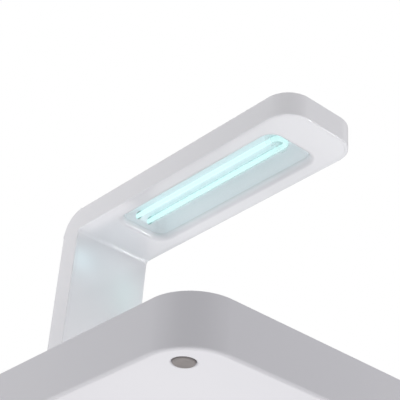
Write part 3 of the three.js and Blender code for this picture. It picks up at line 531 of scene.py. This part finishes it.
pipeFinish = clearFinish("lightPipeClear", tone=(0.7, 0.9, 0.86), alpha=0.75, roughness=0.12)
glowingFinish = glowFinish("tubeGlow")
print("finishes made")

base = {
    "length": 212, "width": 180, "low": 0.5, "rim": 31.6, "floorTop": 4.0, "wall": 2.4,
    "corner": 27, "bottomEdge": 1.8, "rimEdge": 0.8, "innerRimEdge": 0.4,
    "feet": [(85.5, 73.6), (85.5, -73.6), (-85.5, 73.6), (-85.5, -73.6)],
    "pocketRadius": 5.9, "pocketLow": -2, "pocketTop": 2.6, "pocketEdge": 1.3,
    "towerRadius": 5.5, "towerLow": 3.5, "towerTop": 7.8,
    "headRadius": 3.1, "headLow": 0, "headTop": 5.4, "screwRadius": 1.8, "screwLow": 3, "screwTop": 10.8,
    "ribSpacing": 34, "ribThickness": 1.6, "ribReach": 5.0, "ribInWall": 1, "ribEdge": 0.4,
    "ribLow": 3.5, "ribTop": 28.5, "sideRibs": (-2, -1, 0, 1, 2), "endRibs": (-1, 0, 1),
    "inletWidth": 9.5, "inletHeight": 3.8, "inletEdge": 0.25, "inletOut": 4, "inletIn": 6, "inletReach": 12,
    "slack": 0.2,
}


def makeBaseRibs():  # short ribs up the walls, which carry the deck's edge
    ribs = []
    half, low, high = base["ribThickness"] / 2, base["ribLow"], base["ribTop"]
    sideY, endX = base["width"] / 2, base["length"] / 2
    for side in (-1, 1):
        y1, y2 = sorted((side * (sideY - base["ribInWall"]), side * (sideY - base["ribReach"])))
        for step in base["sideRibs"]:
            x = step * base["ribSpacing"]
            ribs.append(addBlock("wallRib", (x - half, y1, low), (x + half, y2, high)))
    x1, x2 = endX - base["ribReach"], endX - base["ribInWall"]
    for step in base["endRibs"]:
        y = step * base["ribSpacing"]
        ribs.append(addBlock("wallRib", (x1, y - half, low), (x2, y + half, high)))
    for rib in ribs:
        roundEdges(rib, base["ribEdge"], lambda edge: level(edge, high))
    return ribs


def isOuterRim(edge):
    return level(edge, base["rim"]) and any(
        not at(face.calc_center_median().z, base["rim"]) and face.normal.dot(face.calc_center_median()) > 0
        for face in edge.link_faces
    )


def isPocketEdge(edge):
    reach = base["pocketRadius"] + base["slack"]
    return level(edge, base["low"]) and any(near(middle(edge), x, y, reach) for x, y in base["feet"])


def cutInlet(shell):
    endX = base["length"] / 2
    inlet = middleOf("power_inlet")
    halfHeight, halfWidth = base["inletHeight"] / 2, base["inletWidth"] / 2
    x1, x2 = -endX - base["inletOut"], -endX + base["inletIn"]
    slot = addBlock(
        "inletSlot", (x1, inlet.y - halfWidth, inlet.z - halfHeight),
        (x2, inlet.y + halfWidth, inlet.z + halfHeight),
    )
    roundEdges(slot, halfHeight - nearlyHalf, lambda edge: at(middle(edge).x, (x1 + x2) / 2), steps=8)
    combine(shell, slot)
    roundEdges(shell, base["inletEdge"], lambda edge: sharp(edge) and all(
        at(corner.co.x, -endX) and (corner.co / mm - inlet).length < base["inletReach"] for corner in edge.verts
    ))


def makeBase():
    endX, endY = base["length"] / 2, base["width"] / 2
    shell = addBlock("baseShell", (-endX, -endY, base["low"]), (endX, endY, base["rim"]))
    roundEdges(shell, base["corner"], upright, steps=20)
    roundEdges(shell, base["bottomEdge"], lambda edge: level(edge, base["low"]), steps=6)
    pickFaces(shell, base["rim"])
    bpy.ops.mesh.inset(thickness=base["wall"] * mm)
    extrude(0, 0, base["floorTop"] - base["rim"])
    done()
    roundEdges(shell, base["rimEdge"], isOuterRim, steps=4)
    roundEdges(shell, base["innerRimEdge"], lambda edge: level(edge, base["rim"]) and sharp(edge))
    for x, y in base["feet"]:
        for part, sides in (("tower", 48), ("pocket", 48), ("head", 24), ("screw", 16)):
            radius, low, high = (base[part + word] for word in ("Radius", "Low", "Top"))
            how = "UNION" if part == "tower" else "DIFFERENCE"
            combine(shell, addRound(part, radius, x, y, low, high, sides), how)
    roundEdges(shell, base["pocketEdge"], isPocketEdge, steps=6)
    cutInlet(shell)
    join(shell, makeBaseRibs())
    smooth(shell)
    settle(shell, "base", "white_shell", shadedShellFinish, "base_tub")


makeBase()
print("base shell made")

deck = {
    "endX": 103.3, "endY": 87.3, "low": 28.8, "top": 31.0, "corner": 24.3, "edge": 0.4,
    "wellLow": (-75.7, -81.3, 23.0), "wellHigh": (97.3, 81.3, 31.0), "wellCorner": 20, "wellPast": 5,
    "draft": 1.6, "floorEdge": 3, "lip": 1.5, "sheet": 2.2,
    "buttons": [(-89.5, -46.05), (-89.5, 46.05)], "light": (-89.5, -31.05),
    "buttonHole": 7.4, "lightHole": 1.8, "holeEdge": 0.3, "holeReach": 7.6,
    "guide": 10.2, "guideLow": 26.4, "guideRoom": 9.0,
    "columnRadius": 4.8, "columnLow": 8.1, "columnTop": 22, "screwRadius": 1.8, "screwLow": 4, "screwEnd": 17.7,
    "socketLow": 15.2, "socketWall": 2.0, "socketGap": 0.3,
    "joinTop": 29.5, "cutLow": 20, "cutTop": 36, "slack": 0.3,
}
arm = {
    "half": 28.75, "top": 179.2, "under": 163.6, "low": 31.3, "legBack": -102.711, "legFront": -87.100,
    "lean": 0.037542, "tip": 106.0, "tipCorner": 15.5, "elbow": 21, "innerElbow": 2.5,
    "wall": 2.0, "edge": 1.0, "outerRimEdge": 0.8, "innerRimEdge": 0.1,
    "spigotInset": 3.0, "spigotLow": 18.0, "spigotIn": 1.5, "spigotEdge": 0.4,
    "tipSides": 85, "headEdges": 170, "legEdges": 5, "leastDown": 0.1, "slack": 0.1,
}


def leaned(x, z):  # x of a line on the leg at another height
    return x + (z - arm["low"]) * arm["lean"]


def addLegBlock(name, inset, low, high):  # a block that leans with the leg, drawn in from its section
    half = arm["half"] - inset
    x1, x2 = leaned(arm["legBack"] + inset, low), leaned(arm["legFront"] - inset, low)
    block = addBlock(name, (x1, -half, low), (x2, half, high))
    pickCorners(block, high)
    move((high - low) * arm["lean"], 0, 0)
    done()
    return block


def makeWellBlock(name, grow, past):
    x1, y1, z1 = deck["wellLow"]
    x2, y2, z2 = deck["wellHigh"]
    low, high = z1 - grow, z2 - grow
    block = addBlock(name, (x1 - grow, y1 - grow, low), (x2 + grow, y2 + grow, high))
    roundEdges(block, deck["wellCorner"] + grow, upright, steps=16)
    pickFaces(block, low)
    length, width = x2 - x1 + 2 * grow, y2 - y1 + 2 * grow
    bpy.ops.transform.resize(
        value=(1 - 2 * deck["draft"] / length, 1 - 2 * deck["draft"] / width, 1),
        center_override=((x1 + x2) / 2 * mm, (y1 + y2) / 2 * mm, low * mm),
    )
    done()
    roundEdges(block, deck["floorEdge"] + grow, lambda edge: level(edge, low), steps=8)
    if past:
        pickFaces(block, high)
        extrude(0, 0, past)
        done()
    return block


def isWellLip(edge):
    spot, slack = middle(edge) / mm, deck["slack"]
    return level(edge, deck["top"]) and sharp(edge, degrees=60) and abs(spot.y) < deck["wellHigh"][1] + slack and (
        deck["wellLow"][0] - slack < spot.x < deck["wellHigh"][0] + slack
    )


def isDeckHole(edge):
    return level(edge, deck["top"]) and sharp(edge, degrees=60) and any(
        near(middle(edge), x, y, deck["holeReach"]) for x, y in (*deck["buttons"], deck["light"])
    )


def makeDeck():
    endX, endY, joinTop = deck["endX"], deck["endY"], deck["joinTop"]
    socketIn = arm["spigotInset"] - deck["socketGap"]
    plate = addBlock("trayDeck", (-endX, -endY, deck["low"]), (endX, endY, deck["top"]))
    roundEdges(plate, deck["corner"], upright, steps=20)
    roundEdges(plate, deck["edge"], lambda edge: level(edge, deck["top"]))
    combine(plate, makeWellBlock("bowl", deck["sheet"], 0), "UNION")
    combine(plate, addLegBlock("socket", socketIn - deck["socketWall"], deck["socketLow"], joinTop), "UNION")
    for x, y in base["feet"]:
        column = addRound("column", deck["columnRadius"], x, y, deck["columnLow"], deck["columnTop"], sides=32)
        combine(plate, column, "UNION")
    for x, y in deck["buttons"]:
        combine(plate, addRound("guide", deck["guide"], x, y, deck["guideLow"], joinTop), "UNION")
    combine(plate, makeWellBlock("well", 0, deck["wellPast"]))
    roundEdges(plate, deck["lip"], isWellLip, steps=5)
    combine(plate, addLegBlock("socketRoom", socketIn, arm["spigotLow"] - deck["socketGap"], deck["cutTop"]))
    for x, y in deck["buttons"]:
        combine(plate, addRound("guideRoom", deck["guideRoom"], x, y, deck["cutLow"], deck["low"]))
        combine(plate, addRound("buttonHole", deck["buttonHole"], x, y, deck["cutLow"], deck["cutTop"], sides=64))
    x, y = deck["light"]
    combine(plate, addRound("lightHole", deck["lightHole"], x, y, deck["cutLow"], deck["cutTop"], sides=32))
    for x, y in base["feet"]:
        hole = addRound("screwRoom", deck["screwRadius"], x, y, deck["screwLow"], deck["screwEnd"], sides=16)
        combine(plate, hole)
    roundEdges(plate, deck["holeEdge"], isDeckHole)
    smooth(plate)
    settle(plate, "base", "white_shell", shadedShellFinish, "tray_deck")


makeDeck()
print("tray deck made")

mat = {
    "low": (-70.8, -76.4, 23.3), "high": (92.4, 76.4, 24.9), "corner": 15.1, "edge": 0.4,
    "ribs": 15, "ribSpacing": 10, "ribMiddle": 10.8, "ribLength": 140.8,
    "ribFoot": 2.6, "ribTop": 1.2, "ribSunk": 0.6, "ribHeight": 1.0,
}


def makeMat():
    sheet = addBlock("trayMat", mat["low"], mat["high"])
    roundEdges(sheet, mat["corner"], upright, steps=12)
    roundEdges(sheet, mat["edge"], lambda edge: level(edge, mat["high"][2]))
    half, halfFoot = mat["ribLength"] / 2, mat["ribFoot"] / 2
    low, high = mat["high"][2] - mat["ribSunk"], mat["high"][2] + mat["ribHeight"]
    firstX = mat["ribMiddle"] - (mat["ribs"] - 1) / 2 * mat["ribSpacing"]
    rib = addBlock("matRib", (firstX - halfFoot, -half, low), (firstX + halfFoot, half, high))
    roundEdges(rib, halfFoot - nearlyHalf, upright, steps=5)
    roundEdges(rib, (mat["ribFoot"] - mat["ribTop"]) / 2, lambda edge: level(edge, high), steps=3)
    applyModifier(
        rib, "ARRAY", use_relative_offset=False, use_constant_offset=True,
        constant_offset_displace=(mat["ribSpacing"] * mm, 0, 0), count=mat["ribs"],
    )
    join(sheet, [rib])
    smooth(sheet)
    settle(sheet, "base", "mat_silicone", matFinish, "tray_mat")


makeMat()
print("mat made")

foot = {
    "radius": 5.75, "top": 2.3, "edge": 0.7, "topEdge": 0.2, "dishRadius": 4.1, "dishDepth": 0.25,
    "names": ["foot_front_left", "foot_front_right", "foot_rear_left", "foot_rear_right"], "slack": 0.3,
}


def makeFeet():
    first = addRound("rubberFoot", foot["radius"], 0, 0, 0, foot["top"], sides=64)
    pickFaces(first, 0)
    bpy.ops.mesh.inset(thickness=(foot["radius"] - foot["dishRadius"]) * mm)
    bpy.ops.mesh.inset(thickness=2 * foot["dishDepth"] * mm, depth=-foot["dishDepth"] * mm)
    done()
    inside = foot["radius"] - foot["slack"]
    roundEdges(first, foot["edge"], lambda edge: level(edge, 0) and not near(middle(edge), 0, 0, inside), steps=5)
    roundEdges(first, foot["topEdge"], lambda edge: level(edge, foot["top"]))
    smooth(first)
    for (x, y), name in zip(base["feet"], foot["names"]):
        makeActive(first)
        bpy.ops.object.duplicate()
        copy = bpy.context.object
        copy.name = "rubberFoot." + name.split("_", 1)[1]
        copy.location = (x * mm, y * mm, 0)
        applyPlace()
        settle(copy, "base", "foot_rubber", footFinish, name)
    bpy.data.objects.remove(first)


makeFeet()
print("feet made")


def edgeAcross(x, z):  # a test for the edges that run across the arm at this place
    return lambda edge: all(at(corner.co.x, x) and at(corner.co.z, z) for corner in edge.verts)


def bevelReach(radius):  # how far along each face a round of this radius goes, in the elbow's open angle
    openAngle = math.pi / 2 + math.atan(arm["lean"])
    return radius / math.tan(openAngle / 2)


def addBentBlock(name, back, half, thickness, tip, tipCorner):  # a leaning leg and a level head in one
    under = arm["under"]
    block = addBlock(name, (back, -half, arm["low"]), (arm["legFront"], half, under))
    pickCorners(block, under)
    move((under - arm["low"]) * arm["lean"], 0, 0)
    done()
    pickFaces(block, under)
    extrude(thickness * arm["lean"], 0, thickness)
    done()
    pick(block, "FACE", lambda face: face.normal.x > facing and face.calc_center_median().z > under * mm)
    extrude(tip - leaned(arm["legFront"], under), 0, 0)
    bpy.ops.transform.resize(value=(0, 1, 1), center_override=(tip * mm, 0, 0))
    done()
    roundEdges(block, tipCorner, lambda edge: upright(edge) and at(middle(edge).x, tip), steps=14)
    return block


def outward(face):  # how far a side wall's face looks out from the arm's middle
    spot = face.calc_center_median()
    ahead = face.normal.x if spot.x > arm["tipSides"] * mm else 0
    return ahead + face.normal.y * math.copysign(1, spot.y)


def isOpenSide(face):  # the leg's front, the inner elbow and the head's underside, which the cover closes
    spot, slack = face.calc_center_median() / mm, arm["slack"]
    if abs(face.normal.y) > mostly or spot.z < arm["low"] + slack:
        return False
    return spot.z < arm["under"] + slack and spot.x > leaned(arm["legFront"], spot.z) - slack and (
        face.normal.x > facing or face.normal.z < -arm["leastDown"]
    )


def isLongEdge(edge):  # the back's, elbow's, top's and tip's outer edges
    if not sharp(edge) or level(edge, arm["low"]):
        return False
    return level(edge, arm["top"]) or all(
        at(abs(corner.co.y), arm["half"]) and (
            corner.co.z > arm["headEdges"] * mm
            or corner.co.x < (leaned(arm["legFront"], corner.co.z / mm) - arm["legEdges"]) * mm
        ) for corner in edge.verts
    )


def onRim(corner):
    spot, slack = corner.co / mm, arm["slack"] / 2
    return spot.z < arm["under"] + slack and spot.x > leaned(arm["legFront"], spot.z) - slack


def isOuterArmRim(edge):
    return sharp(edge) and not level(edge, arm["low"]) and all(onRim(corner) for corner in edge.verts) and (
        max(outward(face) for face in edge.link_faces) > mostly
    )


def makeArmShell():
    under, top = arm["under"], arm["top"]
    shell = addBentBlock("armShell", arm["legBack"], arm["half"], top - under, arm["tip"], arm["tipCorner"])
    roundEdges(shell, bevelReach(arm["elbow"]), edgeAcross(leaned(arm["legBack"], top), top), steps=16)
    roundEdges(shell, bevelReach(arm["innerElbow"]), edgeAcross(leaned(arm["legFront"], under), under), steps=5)
    pick(shell, "FACE", isOpenSide)
    bpy.ops.mesh.delete(type="FACE")
    done()
    thicken(shell, arm["wall"], -1)
    roundEdges(shell, arm["edge"], isLongEdge, steps=4)
    roundEdges(shell, arm["outerRimEdge"], isOuterArmRim, steps=4)
    spigot = addLegBlock("spigot", arm["spigotInset"], arm["spigotLow"], arm["low"] + arm["spigotIn"])
    roundEdges(spigot, arm["spigotEdge"], lambda edge: level(edge, arm["spigotLow"]))
    combine(shell, spigot, "UNION")
    softenEdges(shell, arm["innerRimEdge"])
    smooth(shell)
    settle(shell, "base", "white_shell", armFinish, "arm_shell")


makeArmShell()
print("arm shell made")

cover = {
    "half": 26.7, "sheet": 2.0, "tip": 103.95, "tipCorner": 13.45, "outerElbow": 4.5, "edge": 0.1,
    "recessLow": -54.53, "recessHigh": 81.10, "recessHalf": 17.0, "recessCorner": 7.0,
    "collarWall": 1.6, "collarLow": 164.2, "collarTop": 167.6, "cutLow": 150, "cutTop": 172, "lip": 3.95,
    "slack": 0.2,
}


def addRecessBlock(name, grow, low, high):
    block = addBlock(
        name, (cover["recessLow"] - grow, -cover["recessHalf"] - grow, low),
        (cover["recessHigh"] + grow, cover["recessHalf"] + grow, high),
    )
    roundEdges(block, cover["recessCorner"] + grow, upright, steps=10)
    return block


def isRecessLip(edge):
    spot, slack = middle(edge) / mm, cover["slack"]
    return level(edge, arm["under"]) and sharp(edge, degrees=60) and abs(spot.y) < cover["recessHalf"] + slack and (
        cover["recessLow"] - slack < spot.x < cover["recessHigh"] + slack
    )


def makeArmCover():
    sheet, under, front = cover["sheet"], arm["under"], arm["legFront"]
    piece = addBentBlock("armCover", front - sheet, cover["half"], sheet, cover["tip"], cover["tipCorner"])
    roundEdges(piece, bevelReach(arm["innerElbow"]), edgeAcross(leaned(front, under), under), steps=8)
    over = under + sheet
    roundEdges(piece, bevelReach(cover["outerElbow"]), edgeAcross(leaned(front - sheet, over), over), steps=8)
    combine(piece, addRecessBlock("collar", cover["collarWall"], cover["collarLow"], cover["collarTop"]), "UNION")
    combine(piece, addRecessBlock("opening", 0, cover["cutLow"], cover["cutTop"]))
    roundEdges(piece, cover["lip"], isRecessLip, steps=8)
    softenEdges(piece, cover["edge"])
    smooth(piece)
    settle(piece, "base", "white_shell", armFinish, "arm_cover")


makeArmCover()
print("arm cover made")


def limitArmLights():  # the lamps for the elbow's highlight and for the leg's side light the arm alone
    armPieces = bpy.data.collections.new("armPieces")
    for name in ("armShell", "armCover"):
        armPieces.objects.link(bpy.data.objects[name])
    for name in light["armOnly"]:
        bpy.data.objects[name].light_linking.receiver_collection = armPieces


limitArmLights()
print("arm's own lamps set")

reflector = {
    "low": 167.65, "ceiling": 175.4, "flange": 2.4, "cornerSteps": 12, "inset": 9.0, "steps": 12, "sheet": 0.8,
    "holeRadius": 2.25, "holeRear": -62.0, "holeFront": -45.0,
}
tube = {
    "radius": 2.1, "coreRadius": 1.4, "side": 4.5, "z": 172.1, "rear": -64.33, "bend": 68.9,
    "coreRear": -61.0, "sides": 28, "bendSteps": 24, "endRound": 0.3, "weld": 0.005,
}


def raiseVault(length, width, middleX):  # the picked face goes up and in, step by step, along a quarter wave
    lastInset, lastHeight = 0.0, 0.0
    for step in range(1, reflector["steps"] + 1):
        share = step / reflector["steps"]
        inset = reflector["inset"] * share
        height = (reflector["ceiling"] - reflector["low"]) * math.sin(share * math.pi / 2)
        extrude(0, 0, height - lastHeight)
        growX, growY = ((side - 2 * inset) / (side - 2 * lastInset) for side in (length, width))
        bpy.ops.transform.resize(value=(growX, growY, 1), center_override=(middleX * mm, 0, 0))
        lastInset, lastHeight = inset, height


def makeReflector():
    length, width = cover["recessHigh"] - cover["recessLow"], 2 * cover["recessHalf"]
    middleX = (cover["recessHigh"] + cover["recessLow"]) / 2
    flange = reflector["flange"]
    clearSelection()
    bpy.ops.mesh.primitive_plane_add(size=1, location=(middleX * mm, 0, reflector["low"] * mm))
    vault = bpy.context.object
    vault.name = "vaultReflector"
    vault.scale = ((length + 2 * flange) * mm, (width + 2 * flange) * mm, 1)
    applyPlace()
    pickAll(vault)
    bpy.ops.mesh.bevel(
        offset=(cover["recessCorner"] + flange) * mm, segments=reflector["cornerSteps"], affect="VERTICES",
        clamp_overlap=False,
    )
    bpy.ops.mesh.select_mode(type="FACE")
    bpy.ops.mesh.select_all(action="SELECT")
    bpy.ops.mesh.inset(thickness=flange * mm)
    raiseVault(length, width, middleX)
    bpy.ops.mesh.select_all(action="SELECT")
    bpy.ops.mesh.normals_make_consistent(inside=False)
    done()
    ceiling = max(vault.data.polygons, key=lambda face: face.area)
    thicken(vault, reflector["sheet"], 1 if ceiling.normal.z > 0 else -1)
    for side in (-tube["side"], tube["side"]):
        combine(vault, addBar(
            "limbHole", reflector["holeRadius"], side, tube["z"], reflector["holeRear"], reflector["holeFront"],
        ))
    smooth(vault, angle=40)
    settle(vault, "base", "reflector_metal", reflectorFinish, "reflector")


def makeLimbs(name, radius, rear, finish):
    clearSelection()
    bpy.ops.mesh.primitive_circle_add(
        vertices=tube["sides"], radius=radius * mm, fill_type="NOTHING",
        location=(rear * mm, -tube["side"] * mm, tube["z"] * mm), rotation=(0, math.pi / 2, 0),
    )
    piece = bpy.context.object
    piece.name = name
    applyPlace()
    pickAll(piece)
    extrude(tube["bend"] - rear, 0, 0)
    bpy.ops.mesh.spin(
        steps=tube["bendSteps"], angle=math.pi, center=(tube["bend"] * mm, 0, tube["z"] * mm), axis=(0, 0, -1)
    )
    extrude(rear - tube["bend"], 0, 0)
    bpy.ops.mesh.select_all(action="SELECT")
    bpy.ops.mesh.remove_doubles(threshold=tube["weld"] * mm)
    bpy.ops.mesh.fill_holes(sides=0)
    bpy.ops.mesh.select_all(action="SELECT")
    bpy.ops.mesh.normals_make_consistent(inside=False)
    done()
    roundEdges(piece, radius * tube["endRound"], lambda edge: sharp(edge) and at(middle(edge).x, rear), steps=3)
    smooth(piece)
    settle(piece, "base", "lamp_glass", finish, "uv_lamp_tube")


makeReflector()
print("reflector made")
makeLimbs("lampGlass", tube["radius"], tube["rear"], glassFinish)
makeLimbs("lampGlow", tube["coreRadius"], tube["coreRear"], glowingFinish)
print("tube and its glow made")

button = {
    "radius": 7.0, "top": 32.4, "crown": 0.5, "edge": 0.8, "flangeRadius": 8.6, "flangeTop": 28.5,
    "flangeLow": 27.3, "stemRadius": 2.0, "stemLow": 16.8, "lightRadius": 1.5, "lightTop": 31.0,
    "lightCrown": 0.3, "lightLow": 11.9, "lightFlange": 2.7, "lightFlangeLow": 27.5, "crownRings": 5,
}


def crownTop(piece, z, radius, crown):  # the flat top rises in rings to a low dome
    pick(piece, "FACE", lambda face: at(face.calc_center_median().z, z) and face.normal.z > facing)
    rings = button["crownRings"]
    heights = [crown * (1 - (1 - step / rings) ** 2) for step in range(rings)]
    for before, height in zip(heights, heights[1:]):
        bpy.ops.mesh.inset(thickness=radius / rings * mm, depth=(height - before) * mm)
    done()


def makeButton(name, place, body, node):
    x, y = place
    cap = addRound(name, button["stemRadius"], x, y, button["stemLow"], button["flangeLow"])
    pickFaces(cap, button["flangeLow"])
    last = button["stemRadius"]
    for radius, height in (
        (button["flangeRadius"], button["flangeTop"] - button["flangeLow"]),
        (button["radius"], button["top"] - button["flangeTop"]),
    ):  # the end face is widened or narrowed on the spot, then raised
        extrude(0, 0, 0)
        bpy.ops.transform.resize(value=(radius / last, radius / last, 1), center_override=(x * mm, y * mm, 0))
        extrude(0, 0, height)
        last = radius
    done()
    roundEdges(cap, button["edge"], lambda edge: level(edge, button["top"]), steps=5)
    crownTop(cap, button["top"], button["radius"] - button["edge"], button["crown"])
    smooth(cap)
    settle(cap, body, "button_plastic", buttonFinish, node)


def makeStatusLight():
    x, y = deck["light"]
    pin = addRound("statusLight", button["lightRadius"], x, y, button["lightLow"], button["lightTop"], sides=32)
    collar = addRound(
        "lightCollar", button["lightFlange"], x, y, button["lightFlangeLow"], button["flangeTop"], sides=32,
    )
    crownTop(pin, button["lightTop"], button["lightRadius"], button["lightCrown"])
    combine(pin, collar, "UNION")
    smooth(pin)
    settle(pin, "base", "light_pipe", pipeFinish, "status_light")


makeButton("powerButton", deck["buttons"][0], "power_button", "power_button")
makeButton("timerButton", deck["buttons"][1], "timer_button", "timer_button")
makeStatusLight()
print("buttons and status light made")

hiddenFinishes = {
    "screw": screwFinish, "control_board": boardGreen, "lamp_driver": boardGreen, "power_inlet": inletFinish,
    "switch": switchFinish, "plunger": plungerFinish, "lamp_holder": holderFinish, "lamp_clip": clipFinish,
    "lamp_lead": leadFinish,
}


def dressHiddenNodes():
    for name, node in nodes.items():
        finish = next((chosen for word, chosen in hiddenFinishes.items() if word in name), None)
        if finish is None or node.hide_render:
            continue
        if not node.material_slots:
            node.data.materials.append(finish)
        for place in node.material_slots:
            place.material = finish


dressHiddenNodes()
print("hidden parts given their finishes")

floor = {
    "size": 1600, "fadeFrom": 170, "fadeTo": 480,
    "tone": (0.93, 0.93, 0.935), "otherTone": (0.91, 0.91, 0.915), "cloudScale": 3, "roughness": 0.7,
}


def makeFloor():  # seen from above only, so that the picture from below looks through it
    clearSelection()
    bpy.ops.mesh.primitive_plane_add(size=floor["size"] * mm, location=(0, 0, 0))
    ground = bpy.context.object
    ground.name = "paleFloor"
    finish, tree, shader = newFinish("paleFloor")
    cloud = addNoise(tree, objectPlace(tree), floor["cloudScale"])
    tree.links.new(addRamp(tree, cloud, floor["tone"], floor["otherTone"]), shader.inputs["Base Color"])
    shader.inputs["Roughness"].default_value = floor["roughness"]
    away = tree.nodes.new("ShaderNodeVectorMath")
    away.operation = "LENGTH"
    tree.links.new(objectPlace(tree), away.inputs[0])
    fade = tree.nodes.new("ShaderNodeMapRange")
    fade.interpolation_type = "SMOOTHERSTEP"
    fade.inputs["From Min"].default_value = floor["fadeFrom"] * mm
    fade.inputs["From Max"].default_value = floor["fadeTo"] * mm
    tree.links.new(away.outputs["Value"], fade.inputs["Value"])
    side = tree.nodes.new("ShaderNodeNewGeometry")
    clear = tree.nodes.new("ShaderNodeMath")
    clear.operation = "MAXIMUM"
    tree.links.new(side.outputs["Backfacing"], clear.inputs[0])
    tree.links.new(fade.outputs["Result"], clear.inputs[1])
    through = tree.nodes.new("ShaderNodeBsdfTransparent")
    choose = tree.nodes.new("ShaderNodeMixShader")
    tree.links.new(clear.outputs["Value"], choose.inputs["Fac"])
    tree.links.new(shader.outputs["BSDF"], choose.inputs[1])
    tree.links.new(through.outputs["BSDF"], choose.inputs[2])
    tree.links.new(choose.outputs["Shader"], tree.nodes["Material Output"].inputs["Surface"])
    ground.data.materials.append(finish)
    ground.visible_shadow = False
    ground.visible_diffuse = False
    ground.visible_glossy = False
    ground.visible_transmission = False


makeFloor()
print("floor made")
